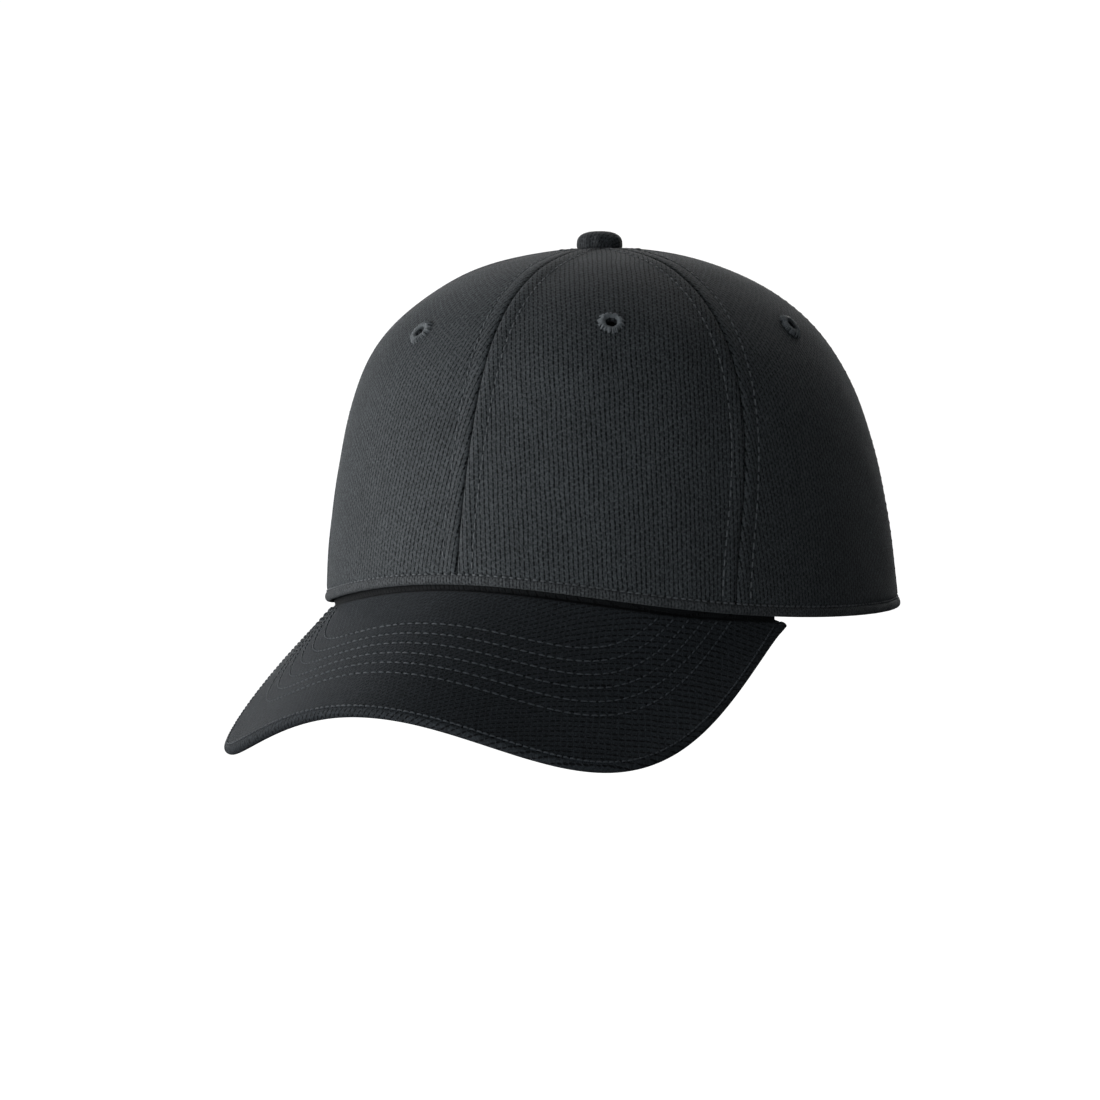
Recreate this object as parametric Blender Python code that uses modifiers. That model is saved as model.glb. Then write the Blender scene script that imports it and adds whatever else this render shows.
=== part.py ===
"""Six-panel curved-brim cap: crown, brim, button, eyelets, inner parts and back closure.

Metres, +Z up. The origin is the centre of the head opening on the rim plane. The brim points
to -Y and the wearer's left is +X. Angles run round the crown from the front (0) towards +X.
The height along a crown meridian is a fraction: 0 at the rim, 1 at the button.
"""
import math

import bmesh
import bpy
import numpy as np
from mathutils import Matrix, Vector

MM = 0.001

# ---- crown form ------------------------------------------------------------------
RIM_HALF_WIDTH = 85.5 * MM
RIM_FRONT = 101.8 * MM
RIM_BACK = 103.9 * MM
CROWN_HEIGHT = 113.4 * MM
APEX_FORWARD = 9.9 * MM
FRONT_LIFT = 13.2 * MM          # the rim rises at the front, over the brim
FRONT_LIFT_SPREAD = 48.9        # degrees
ROUNDNESS = (2.07, 2.24, 2.33)  # front, side, back exponent of the meridian curve
LEAN = (0.10, -0.05, 0.145)     # front, side, back lean towards the button
BELLY = 0.061
SHOULDER = -0.048
PULL = 0.030                    # the front-right seam pulls the shoulder in a little
PULL_ANGLE = -62.6
PULL_HEIGHT = 0.665
PULL_SPREAD = 0.40
PULL_REACH = 0.10
RIDGE = 0.014                   # the stiffened front stands in a ridge along its centre seam
RIDGE_LIFT = 10.0 * MM
RIDGE_SPREAD = 0.30
RIDGE_ROUND = 0.12

# ---- seams, in degrees round the crown -------------------------------------------
FRONT_SEAM = 61.6
FRONT_SEAM_DRIFT = 4.9          # the seam moves back as it rises
FRONT_SEAM_TUCK = 5.9           # and tucks forward near the rim
FRONT_SEAM_TUCK_REACH = 0.25
REAR_SEAM = 120.0
SEAM_GAP = 0.4 * MM
PANEL_BOTTOM = 0.0235           # fraction of the meridian taken by the hem band
PANEL_TOP = 0.965               # the panels stop round the rivet hole
PANEL_COLUMNS = 11
# Rows of the crown's layers. Layers share them, so their facets stay parallel.
CROWN_ROWS = np.concatenate([[PANEL_BOTTOM, 0.045], np.linspace(0.11, PANEL_TOP, 13)])

# ---- layers, measured inwards from the outside of the crown ------------------------
FABRIC = 1.1 * MM
STIFFENER_DEPTH = 1.4 * MM
STIFFENER = 0.6 * MM
STIFFENER_EDGE = 0.045          # share of the panel width left bare at each seam
TAPE_DEPTH = 2.3 * MM
TAPE = 0.6 * MM
TAPE_HALF_WIDTH = 4.5 * MM
BAND_DEPTH = 3.3 * MM
BAND = 1.2 * MM
BAND_BOTTOM = 0.010
BAND_TOP = 0.190

# ---- how finely the lofted pieces are divided: columns, then rows -------------------
BAND_GRID = (49, 3)
STRAP_GRID = (11, 3)
BACK_PANEL_GRID = (5, 8, 14)    # columns along the hem, columns along the arch, rows
BRIM_COLUMNS = 31
BRIM_TOP_ROWS = 5
BRIM_INNER_COLUMNS = 27
BRIM_INNER_ROWS = 4

# ---- eyelets ---------------------------------------------------------------------
# angle and height of each; the sewn ones are not quite symmetrical
EYELETS = {"front_left": (34.2, 0.554), "front_right": (-29.3, 0.526),
           "side_left": (89.6, 0.546), "side_right": (-92.1, 0.545),
           "back_left": (150.0, 0.600), "back_right": (-150.0, 0.600)}
EYELET_HOLE_RADIUS = 1.7 * MM
EYELET_STEPS = 14
EYELET_PROFILE = ((1.5, 0.55), (1.9, 0.90), (2.7, 1.12), (3.6, 0.98), (4.25, 0.62),
                  (4.3, 0.30), (1.5, 0.30))

# ---- hem band and back arch --------------------------------------------------------
PIPING_SIDES = 8
HEM_CENTRE_DEPTH = 0.55 * MM
HEM_CENTRE_HEIGHT = 0.0112
HEM_HALF_HEIGHT = 1.65 * MM
HEM_HALF_THICKNESS = 1.15 * MM
ARCH_HALF_ANGLE = 26.0
ARCH_TOP = 0.27
ARCH_BINDING_HALF_WIDTH = 1.5 * MM
ARCH_BINDING_HALF_THICKNESS = 1.0 * MM
ARCH_CLEAR_ANGLE = 1.25
ARCH_CLEAR_HEIGHT = 0.0115
HEM_END_ANGLE = ARCH_HALF_ANGLE + 1.6

# ---- closure straps ----------------------------------------------------------------
STRAP_BOTTOM = 0.012
STRAP_TOP = 0.125
HOOK_STRAP = (21.6, -9.0, -1.0 * MM, 1.0 * MM)   # start angle, end angle, depth, thickness
HOOK_TAPE = (7.5, -8.0, 0.3 * MM, 0.6 * MM)
LOOP_TAPE = (13.5, -14.5, 1.2 * MM, 0.6 * MM)
LOOP_STRAP = (15.0, -33.0, 2.1 * MM, 1.0 * MM)
TAPE_PATCH_INSET = 0.010

# ---- brim --------------------------------------------------------------------------
BRIM_END_ANGLE = 65.8
BRIM_START_DEPTH = 2.1 * MM
BRIM_START_DROP = 0.45 * MM
BRIM_FLANGE_TOP = 0.030         # sewn edge of the top fabric, behind the hem band
BRIM_HALF_WIDTH = 79.5 * MM
BRIM_LENGTH = 118.2 * MM        # from the brim ends forward to the tip
BRIM_SIDE_POWER = 1.033
BRIM_FRONT_POWER = 0.682
BRIM_FLARE = 0.074
BRIM_TIP_DROP = -19.5 * MM
BRIM_ARCH = 48.2 * MM           # extra drop at one BRIM_ARCH_WIDTH off centre
BRIM_ARCH_WIDTH = 83.2 * MM
BRIM_END_DROP = 3.0 * MM
BRIM_END_POWER = 0.362
BRIM_SPAN = 0.990               # share of the brim edge the top fabric covers
BRIM_INNER_SPAN = 0.952         # the board and the underside stop short of the corners
BRIM_COVER = 0.8 * MM
BRIM_EDGE_RADIUS = 2.0 * MM
BRIM_EDGE_INSET = 2.2 * MM
BRIM_LIP_RETURN = 0.6 * MM
BOARD_DEPTH = 1.1 * MM
BOARD = 1.7 * MM
BOARD_INSET = 2.45 * MM
UNDER_DEPTH = 3.1 * MM
UNDER_COVER = 0.7 * MM
UNDER_INSET = 3.4 * MM

# ---- button ------------------------------------------------------------------------
BUTTON_SEAT = 0.3 * MM
BUTTON_STEPS = 20
BUTTON_COVER = ((0.0, 5.0), (3.6, 4.75), (5.6, 4.0), (6.7, 2.8), (6.9, 1.2), (6.6, -0.2),
                (5.8, -0.2), (6.05, 1.2), (5.85, 2.35), (4.9, 3.3), (3.2, 3.95), (0.0, 4.2))
BUTTON_SHELL = ((0.0, 3.9), (3.0, 3.6), (4.6, 2.85), (5.5, 1.95), (5.75, 1.2), (5.2, 0.5),
                (4.6, 0.5), (5.1, 1.25), (4.85, 1.7), (4.1, 2.4), (2.7, 3.05), (0.0, 3.3))
RIVET = ((0.0, 2.9), (1.5, 2.9), (1.5, -1.9), (5.6, -1.9), (6.0, -2.3), (6.0, -2.7), (0.0, -2.9))

# ---- care label --------------------------------------------------------------------
LABEL_ANGLE = 100.0
LABEL_TOP = 0.186
LABEL_WIDTH = 30.0 * MM
LABEL_HEIGHT = 21.0 * MM
LABEL_THICKNESS = 0.5 * MM
LABEL_DEPTH = 6.3 * MM

MATERIALS = {
    "mesh_fabric": ((0.013, 0.014, 0.016), 0.88, 0.0),
    "brim_fabric": ((0.013, 0.014, 0.017), 0.86, 0.0),
    "edge_fabric": ((0.015, 0.016, 0.018), 0.84, 0.0),
    "eyelet_thread": ((0.045, 0.047, 0.050), 0.60, 0.0),
    "stiffener": ((0.030, 0.030, 0.032), 0.95, 0.0),
    "seam_tape": ((0.010, 0.010, 0.011), 0.90, 0.0),
    "sweatband_fabric": ((0.016, 0.016, 0.018), 0.92, 0.0),
    "brim_board": ((0.55, 0.55, 0.53), 0.60, 0.0),
    "strap_webbing": ((0.012, 0.012, 0.013), 0.80, 0.0),
    "touch_fastener": ((0.008, 0.008, 0.009), 0.75, 0.0),
    "button_metal": ((0.45, 0.45, 0.47), 0.38, 1.0),
    "label_satin": ((0.62, 0.62, 0.60), 0.45, 0.0),
}


# ---- surfaces ----------------------------------------------------------------------
def three_way(angle, values):
    """Blend a front, a side and a back value smoothly round the crown."""
    c = np.cos(angle)
    front, side, back = values
    end = np.where(c > 0, front, back)
    return side + (end - side) * c * c


def rim_height(angle):
    turn = np.degrees(np.abs((angle + np.pi) % (2 * np.pi) - np.pi))
    return FRONT_LIFT * np.exp(-(turn / FRONT_LIFT_SPREAD) ** 2)


def crown_surface(angle, height):
    """Point on the outside of the crown."""
    power = three_way(angle, ROUNDNESS)
    lean = three_way(angle, LEAN)
    a = np.clip(height, 0.0, 1.0) * np.pi / 2
    c, s = np.cos(a), np.sin(a)
    scale = (c ** power + s ** power) ** (1 / power)
    up = s / scale
    shape = 1 - lean * up + BELLY * np.sin(2 * a) + SHOULDER * np.sin(4 * a)
    turn = (angle - math.radians(PULL_ANGLE) + np.pi) % (2 * np.pi) - np.pi
    shape = shape - PULL * np.exp(-(turn / PULL_SPREAD) ** 2
                                  - ((height - PULL_HEIGHT) / PULL_REACH) ** 2)
    centre = (angle + np.pi) % (2 * np.pi) - np.pi
    ridge = s ** 4 * np.exp(-np.sqrt((centre / RIDGE_SPREAD) ** 2 + RIDGE_ROUND ** 2))
    out = c / scale * (shape + RIDGE * ridge)
    depth = np.where(np.cos(angle) > 0, RIM_FRONT, RIM_BACK)
    rim = rim_height(angle)
    x = RIM_HALF_WIDTH * np.sin(angle) * out
    y = -depth * np.cos(angle) * out - APEX_FORWARD * up
    z = rim + (CROWN_HEIGHT - rim) * up + RIDGE_LIFT * ridge * c ** 2
    return np.stack([x, y, z], -1)


def unit(v):
    return v / np.linalg.norm(v, axis=-1, keepdims=True)


def crown_frame(angle, height):
    """Unit vectors on the crown: round, up the meridian, outwards; and metres per radian."""
    step = 1e-4
    low = np.clip(height - step, 0.0, 1.0)
    high = np.clip(height + step, 0.0, 1.0)
    round_way = crown_surface(angle + step, height) - crown_surface(angle - step, height)
    up_way = unit(crown_surface(angle, high) - crown_surface(angle, low))
    radius = np.linalg.norm(round_way, axis=-1) / (2 * step)
    outward = unit(np.cross(round_way, up_way))
    return unit(round_way), up_way, outward, radius


def crown_point(angle, height, depth=0.0):
    angle, height = np.broadcast_arrays(np.asarray(angle, float), np.asarray(height, float))
    outward = crown_frame(angle, height)[2]
    return crown_surface(angle, height) - outward * depth


def front_seam(height):
    """Angle in radians of the seam between a front and a side panel."""
    tuck = FRONT_SEAM_TUCK * np.exp(-(height / FRONT_SEAM_TUCK_REACH) ** 2)
    return np.radians(FRONT_SEAM + FRONT_SEAM_DRIFT * height - tuck)


def centre_seam(height):
    return np.zeros_like(height)


def rear_seam(height):
    return np.full_like(height, math.radians(REAR_SEAM))


def back_seam(height):
    return np.full_like(height, math.pi)


# ---- mesh helpers ------------------------------------------------------------------
def clear_scene():
    for obj in list(bpy.data.objects):
        bpy.data.objects.remove(obj, do_unlink=True)


def make_material(name):
    colour, roughness, metallic = MATERIALS[name]
    mat = bpy.data.materials.new(name)
    mat.use_nodes = True
    shader = mat.node_tree.nodes["Principled BSDF"]
    shader.inputs["Base Color"].default_value = (*colour, 1.0)
    shader.inputs["Roughness"].default_value = roughness
    shader.inputs["Metallic"].default_value = metallic
    mat.diffuse_color = (*colour, 1.0)
    return mat


def new_collection(name):
    coll = bpy.data.collections.new(name)
    bpy.context.scene.collection.children.link(coll)
    return coll


def add_object(name, verts, faces, material, origin=(0.0, 0.0, 0.0)):
    origin = Vector(origin)
    mesh = bpy.data.meshes.new(name)
    mesh.from_pydata([Vector(v) - origin for v in verts], [], faces)
    mesh.materials.append(bpy.data.materials[material])
    obj = bpy.data.objects.new(name, mesh)
    obj.location = origin
    CAP.objects.link(obj)
    return obj


def add_thickness(obj, thickness):
    solid = obj.modifiers.new("thickness", "SOLIDIFY")
    solid.thickness = thickness
    solid.offset = -1.0
    solid.use_even_offset = True
    return obj


def grid_faces(columns, rows):
    """Quads of a grid stored column by column, facing away from column-cross-row."""
    faces = []
    for i in range(columns - 1):
        for j in range(rows - 1):
            a = i * rows + j
            faces.append((a, a + rows, a + rows + 1, a + 1))
    return faces


def add_sheet(name, points, thickness, material, origin=(0.0, 0.0, 0.0)):
    """A sheet lofted through a (columns, rows, 3) grid of outer points."""
    columns, rows = points.shape[:2]
    verts = points.reshape(-1, 3).tolist()
    obj = add_object(name, verts, grid_faces(columns, rows), material, origin)
    return add_thickness(obj, thickness)


def add_rope(name, centres, across, along, half_across, half_along, sides, material):
    """A strip of oval section lofted along a path, closed at both ends."""
    turns = np.linspace(0, 2 * np.pi, sides, endpoint=False)
    rings = [centres + half_across * np.cos(k) * across + half_along * np.sin(k) * along
             for k in turns]
    points = np.stack(rings, 1)
    count = len(centres)
    faces = []
    for i in range(count - 1):
        for j in range(sides):
            a = i * sides + j
            b = i * sides + (j + 1) % sides
            faces.append((a, b, b + sides, a + sides))
    faces.append(tuple(reversed(range(sides))))
    faces.append(tuple(range((count - 1) * sides, count * sides)))
    return add_object(name, points.reshape(-1, 3).tolist(), faces, material)


def add_turned(name, profile, material, steps, closed):
    """A turned body: a half profile in millimetres spun about Z."""
    verts = [(r * MM, 0.0, z * MM) for r, z in profile]
    edges = [(i, i + 1) for i in range(len(verts) - 1)]
    if closed:
        edges.append((len(verts) - 1, 0))
    mesh = bpy.data.meshes.new(name)
    mesh.from_pydata(verts, edges, [])
    mesh.materials.append(bpy.data.materials[material])
    obj = bpy.data.objects.new(name, mesh)
    CAP.objects.link(obj)
    spin = obj.modifiers.new("spin", "SCREW")
    spin.axis = "Z"
    spin.angle = 2 * math.pi
    spin.screw_offset = 0.0
    spin.steps = steps
    spin.render_steps = steps
    spin.use_merge_vertices = True
    spin.merge_threshold = 0.00001
    return obj


# ---- crown -------------------------------------------------------------------------
def seam_grid(low_seam, high_seam, u, height, sign):
    """Angles of a panel grid between two seams, held clear of both by half the gap."""
    low = low_seam(height)
    high = high_seam(height)
    clear = SEAM_GAP / 2 / crown_frame(low, height)[3]
    angle = low + (high - low) * u + clear * (1 - 2 * u)
    return sign * angle


def ordered(points, sign):
    return points if sign > 0 else points[::-1]


def add_plain_panel(name, low_seam, high_seam, sign):
    u, height = np.meshgrid(np.linspace(0, 1, PANEL_COLUMNS), CROWN_ROWS, indexing="ij")
    angle = seam_grid(low_seam, high_seam, u, height, sign)
    points = ordered(crown_point(angle, height), sign)
    return add_sheet(name, points, FABRIC, "mesh_fabric")


def add_back_panel(name, sign):
    """A back panel: hem, then the quarter arch of the opening, then the centre-back seam."""
    hem_columns, arch_columns, rows = BACK_PANEL_GRID
    half_arch = ARCH_HALF_ANGLE + ARCH_CLEAR_ANGLE
    arch_top = ARCH_TOP + ARCH_CLEAR_HEIGHT
    corner = 180.0 - half_arch
    hem = np.linspace(REAR_SEAM, corner, hem_columns)
    turn = np.linspace(0, np.pi / 2, arch_columns)[1:]
    foot_angle = np.concatenate([hem, 180.0 - half_arch * np.cos(turn)])
    foot_height = np.concatenate([np.full(hem_columns, PANEL_BOTTOM),
                                  PANEL_BOTTOM + (arch_top - PANEL_BOTTOM) * np.sin(turn)])
    u = np.linspace(0, 1, len(foot_angle))
    head_angle = REAR_SEAM + (180.0 - REAR_SEAM) * u
    climb = np.linspace(0, 1, rows)[None, :]
    angle = np.radians(foot_angle[:, None] + (head_angle - foot_angle)[:, None] * climb)
    height = foot_height[:, None] + (PANEL_TOP - foot_height)[:, None] * climb
    clear = SEAM_GAP / 2 / crown_frame(angle, height)[3]
    angle = angle + clear * (1 - 2 * u[:, None])
    points = ordered(crown_point(sign * angle, height), sign)
    return add_sheet(name, points, FABRIC, "mesh_fabric")


def add_eyelet(name, angle, height):
    spot = Vector(crown_point(angle, height).tolist())
    outward = Vector(crown_frame(np.float64(angle), np.float64(height))[2].tolist())
    place = Matrix.Translation(spot) @ outward.to_track_quat("Z", "Y").to_matrix().to_4x4()
    ring = add_turned(name, EYELET_PROFILE, "eyelet_thread", EYELET_STEPS, closed=True)
    ring.matrix_world = place
    return place


def add_hole_cutter(name, place):
    mesh = bpy.data.meshes.new(name)
    bm = bmesh.new()
    bmesh.ops.create_cone(bm, cap_ends=True, segments=16, radius1=EYELET_HOLE_RADIUS,
                          radius2=EYELET_HOLE_RADIUS, depth=0.012)
    bm.to_mesh(mesh)
    bm.free()
    cutter = bpy.data.objects.new(name, mesh)
    cutter.matrix_world = place
    cutter.display_type = "WIRE"
    cutter.hide_render = True
    CUTTERS.objects.link(cutter)
    return cutter


def cut(obj, cutter):
    hole = obj.modifiers.new("eyelet_hole", "BOOLEAN")
    hole.operation = "DIFFERENCE"
    hole.solver = "EXACT"
    hole.object = cutter


def add_stiffener(name, sign):
    columns = np.linspace(0, 1, PANEL_COLUMNS)
    columns = np.concatenate([[STIFFENER_EDGE], columns[1:-1], [1 - STIFFENER_EDGE]])
    u, height = np.meshgrid(columns, CROWN_ROWS[1:-3], indexing="ij")
    angle = seam_grid(centre_seam, front_seam, u, height, sign)
    points = ordered(crown_point(angle, height, STIFFENER_DEPTH), sign)
    return add_sheet(name, points, STIFFENER, "stiffener")


def add_seam_tape(name, seam, first_row, sign):
    side, height = np.meshgrid((-1.0, 0.0, 1.0), CROWN_ROWS[first_row:-1], indexing="ij")
    middle = sign * seam(height)
    angle = middle + side * TAPE_HALF_WIDTH / crown_frame(middle, height)[3]
    return add_sheet(name, crown_point(angle, height, TAPE_DEPTH), TAPE, "seam_tape")


def build_crown():
    for side, sign in (("left", 1), ("right", -1)):
        panels = {
            "front": add_plain_panel(f"panel_front_{side}", centre_seam, front_seam, sign),
            "side": add_plain_panel(f"panel_side_{side}", front_seam, rear_seam, sign),
            "back": add_back_panel(f"panel_back_{side}", sign),
        }
        stiffener = add_stiffener(f"stiffener_{side}", sign)
        for place_name, panel in panels.items():
            degrees, level = EYELETS[f"{place_name}_{side}"]
            place = add_eyelet(f"eyelet_{place_name}_{side}", math.radians(degrees), level)
            cutter = add_hole_cutter(f"cut_eyelet_{place_name}_{side}", place)
            cut(panel, cutter)
            if place_name == "front":
                cut(stiffener, cutter)
        add_seam_tape(f"seam_tape_front_{side}", front_seam, 1, sign)
        add_seam_tape(f"seam_tape_rear_{side}", rear_seam, 1, sign)
    add_seam_tape("seam_tape_centre_front", centre_seam, 1, 1)
    above_arch = int(np.searchsorted(CROWN_ROWS, ARCH_TOP + ARCH_CLEAR_HEIGHT))
    add_seam_tape("seam_tape_centre_back", back_seam, above_arch, 1)


# ---- rim and inside ----------------------------------------------------------------
def build_hem_band():
    half = math.radians(180.0 - HEM_END_ANGLE)
    angle = np.linspace(-half, half, 65)
    height = np.full_like(angle, HEM_CENTRE_HEIGHT)
    centres = crown_point(angle, height, HEM_CENTRE_DEPTH)
    frame = crown_frame(angle, height)
    add_rope("hem_band", centres, frame[2], -frame[1], HEM_HALF_THICKNESS, HEM_HALF_HEIGHT,
             PIPING_SIDES, "edge_fabric")


def build_arch_binding():
    turn = np.linspace(0, np.pi, 25)
    angle = np.pi - math.radians(ARCH_HALF_ANGLE) * np.cos(turn)
    height = 0.004 + (ARCH_TOP - 0.004) * np.sin(turn)
    centres = crown_point(angle, height, HEM_CENTRE_DEPTH)
    outward = crown_frame(angle, height)[2]
    path = unit(np.gradient(centres, axis=0))
    across = unit(np.cross(path, outward))
    add_rope("arch_binding", centres, outward, across, ARCH_BINDING_HALF_THICKNESS,
             ARCH_BINDING_HALF_WIDTH, PIPING_SIDES, "edge_fabric")


def build_sweatband():
    columns, rows = BAND_GRID
    half = math.radians(180.0 - HEM_END_ANGLE - 0.6)
    angle = np.linspace(-half, half, columns)[:, None] + np.zeros((1, rows))
    height = np.linspace(BAND_BOTTOM, BAND_TOP, rows)[None, :] + np.zeros((columns, 1))
    add_sheet("sweatband", crown_point(angle, height, BAND_DEPTH), BAND, "sweatband_fabric")


def build_care_label():
    angle = math.radians(LABEL_ANGLE)
    spot = crown_point(angle, LABEL_TOP, LABEL_DEPTH)
    outward = crown_frame(np.float64(angle), np.float64(LABEL_TOP))[2]
    flat_out = unit(np.array([outward[0], outward[1], 0.0]))
    across = Vector(np.cross(flat_out, np.array([0.0, 0.0, 1.0])).tolist())
    mesh = bpy.data.meshes.new("care_label")
    bm = bmesh.new()
    bmesh.ops.create_cube(bm, size=1.0)
    bmesh.ops.scale(bm, vec=(LABEL_WIDTH, LABEL_THICKNESS, LABEL_HEIGHT), verts=bm.verts)
    bmesh.ops.translate(bm, vec=(0.0, 0.0, -LABEL_HEIGHT / 2), verts=bm.verts)
    bm.to_mesh(mesh)
    bm.free()
    mesh.materials.append(bpy.data.materials["label_satin"])
    label = bpy.data.objects.new("care_label", mesh)
    label.location = spot.tolist()
    label.rotation_euler.z = math.atan2(across.y, across.x)
    CAP.objects.link(label)


# ---- back closure ------------------------------------------------------------------
def strap_points(spec, inset=0.0):
    start, end, depth = spec[:3]
    columns, rows = STRAP_GRID
    angle = math.pi - np.radians(np.linspace(start, end, columns))[:, None]
    angle = angle + np.zeros((1, rows))
    height = np.linspace(STRAP_BOTTOM + inset, STRAP_TOP - inset, rows)[None, :]
    return crown_point(angle, height + np.zeros((columns, 1)), depth)


def hook_hinge():
    """The stitched root of the hook strap, the line it peels back about."""
    middle = (STRAP_BOTTOM + STRAP_TOP) / 2
    turn = math.pi - math.radians(HOOK_STRAP[0])
    return crown_point(turn, middle, HOOK_STRAP[2] + HOOK_STRAP[3] / 2).tolist()


def build_closure():
    hinge = hook_hinge()
    add_sheet("hook_strap", strap_points(HOOK_STRAP), HOOK_STRAP[3], "strap_webbing", hinge)
    add_sheet("hook_tape", strap_points(HOOK_TAPE, TAPE_PATCH_INSET), HOOK_TAPE[3],
              "touch_fastener", hinge)
    add_sheet("loop_tape", strap_points(LOOP_TAPE, TAPE_PATCH_INSET), LOOP_TAPE[3],
              "touch_fastener")
    add_sheet("loop_strap", strap_points(LOOP_STRAP), LOOP_STRAP[3], "strap_webbing")


# ---- brim --------------------------------------------------------------------------
def brim_edge(share):
    """Points on the outer edge of the brim, share running -1 to 1 along its length."""
    turn = np.linspace(-np.pi / 2, np.pi / 2, 2001)
    c = np.clip(np.cos(turn), 0.0, 1.0)
    s = np.sin(turn)
    x = BRIM_HALF_WIDTH * np.sign(s) * np.abs(s) ** BRIM_SIDE_POWER
    x = x * (1 + BRIM_FLARE * np.sin(2 * np.abs(turn)))
    root = RIM_FRONT * math.cos(math.radians(BRIM_END_ANGLE))
    y = -(root + BRIM_LENGTH * c ** BRIM_FRONT_POWER)
    sag = BRIM_TIP_DROP - BRIM_ARCH * (x / BRIM_ARCH_WIDTH) ** 2 * np.sqrt(c)
    mix = c ** BRIM_END_POWER
    z = BRIM_END_DROP * (1 - mix) + sag * mix
    line = np.stack([x, y, z], -1)
    run = np.concatenate([[0.0], np.cumsum(np.linalg.norm(np.diff(line, axis=0), axis=1))])
    want = (np.asarray(share) + 1) / 2 * run[-1]
    return np.stack([np.interp(want, run, line[:, k]) for k in range(3)], -1)


def brim_root(share):
    angle = np.asarray(share) * math.radians(BRIM_END_ANGLE)
    start = crown_point(angle, np.zeros_like(angle), BRIM_START_DEPTH)
    return start - np.array([0.0, 0.0, BRIM_START_DROP])


def brim_frames(share):
    """Root, edge, upward normal at both, and the outward direction at the edge."""
    root = brim_root(share)
    edge = brim_edge(share)
    forward = unit(edge - root)
    along_root = unit(np.gradient(root, axis=0))
    along_edge = unit(np.gradient(edge, axis=0))
    up_root = unit(np.cross(forward, along_root))
    up_edge = unit(np.cross(forward, along_edge))
    out = unit(np.cross(along_edge, up_edge))
    return root, edge, up_root, up_edge, out


def brim_layer(share, depth, inset, rows):
    """Grid of a brim layer: depth below the top face, inset from the outer edge."""
    root, edge, up_root, up_edge, out = brim_frames(share)
    v = np.linspace(0, 1, rows)[None, :, None]
    start = (root - up_root * depth)[:, None, :]
    stop = (edge - out * inset - up_edge * depth)[:, None, :]
    return start + (stop - start) * v


def brim_cover_grid(share, rows):
    """A sewn flange, the top face, the roll round the edge and a short return below."""
    _, edge, _, up_edge, out = brim_frames(share)
    angle = share * math.radians(BRIM_END_ANGLE)
    flange = [crown_point(angle, np.full_like(angle, h), BRIM_START_DEPTH)
              for h in (BRIM_FLANGE_TOP, BRIM_FLANGE_TOP / 2)]
    top = brim_layer(share, 0.0, BRIM_EDGE_INSET, rows)
    middle = edge - out * BRIM_EDGE_INSET - up_edge * BRIM_EDGE_RADIUS
    rolls = []
    for turn in np.linspace(0, np.pi, 5)[1:]:
        rolls.append(middle + BRIM_EDGE_RADIUS * (up_edge * math.cos(turn) + out * math.sin(turn)))
    rolls.append(rolls[-1] - out * BRIM_LIP_RETURN)
    return np.concatenate([np.stack(flange, 1), top, np.stack(rolls, 1)], 1)


def build_brim():
    share = np.linspace(-BRIM_SPAN, BRIM_SPAN, BRIM_COLUMNS)
    cover = brim_cover_grid(share, BRIM_TOP_ROWS)[::-1]
    add_sheet("brim_top_cover", cover, BRIM_COVER, "brim_fabric")
    share = np.linspace(-BRIM_INNER_SPAN, BRIM_INNER_SPAN, BRIM_INNER_COLUMNS)
    board = brim_layer(share, BOARD_DEPTH, BOARD_INSET, BRIM_INNER_ROWS)[::-1]
    add_sheet("brim_board", board, BOARD, "brim_board")
    under = brim_layer(share, UNDER_DEPTH, UNDER_INSET, BRIM_INNER_ROWS)[::-1]
    add_sheet("brim_under_cover", under, UNDER_COVER, "brim_fabric")


# ---- button ------------------------------------------------------------------------
def build_button():
    seat = Vector((0.0, -APEX_FORWARD, CROWN_HEIGHT + BUTTON_SEAT))
    for name, profile, material in (("button_cover", BUTTON_COVER, "mesh_fabric"),
                                    ("button_shell", BUTTON_SHELL, "button_metal"),
                                    ("button_rivet", RIVET, "button_metal")):
        add_turned(name, profile, material, BUTTON_STEPS, closed=False).location = seat


clear_scene()
CAP = new_collection("six_panel_cap")
CUTTERS = new_collection("cutters")
for material_name in MATERIALS:
    make_material(material_name)
build_crown()
build_hem_band()
build_arch_binding()
build_sweatband()
build_care_label()
build_closure()
build_brim()
build_button()
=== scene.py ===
"""The looks of the six-panel cap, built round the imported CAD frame.

Metres, +Z up, brim towards -Y, the wearer's left at +X. Angles run round the crown from the
front (0) towards +X, and the height along a crown meridian is a fraction, 0 at the rim and 1 at
the button. The crown and brim surfaces are the CAD's own. Where a visible piece is cut or rounded
a little differently from its solid, the constant says what the solid has.
"""
import math

import bmesh
import bpy
import numpy as np
from mathutils import Matrix, Vector


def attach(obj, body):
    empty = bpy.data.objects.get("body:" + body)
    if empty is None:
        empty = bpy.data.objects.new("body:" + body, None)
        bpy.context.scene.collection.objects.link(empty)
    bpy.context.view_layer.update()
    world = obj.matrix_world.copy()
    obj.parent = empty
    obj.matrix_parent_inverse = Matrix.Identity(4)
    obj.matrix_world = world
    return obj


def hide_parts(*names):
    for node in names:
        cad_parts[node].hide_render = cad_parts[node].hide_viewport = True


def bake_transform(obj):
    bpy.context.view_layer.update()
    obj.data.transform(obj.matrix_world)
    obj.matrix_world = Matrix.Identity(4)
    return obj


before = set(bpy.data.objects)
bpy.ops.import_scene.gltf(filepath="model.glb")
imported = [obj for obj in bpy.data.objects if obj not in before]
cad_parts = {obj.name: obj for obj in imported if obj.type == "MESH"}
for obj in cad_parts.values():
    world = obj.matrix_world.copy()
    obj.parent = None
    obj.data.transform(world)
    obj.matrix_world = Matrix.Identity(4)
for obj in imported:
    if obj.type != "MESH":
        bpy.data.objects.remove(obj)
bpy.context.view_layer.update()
MM = 0.001
CAP = "cap"
HOOK = "hook_strap_body"
LABEL = "care_label_body"
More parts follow.
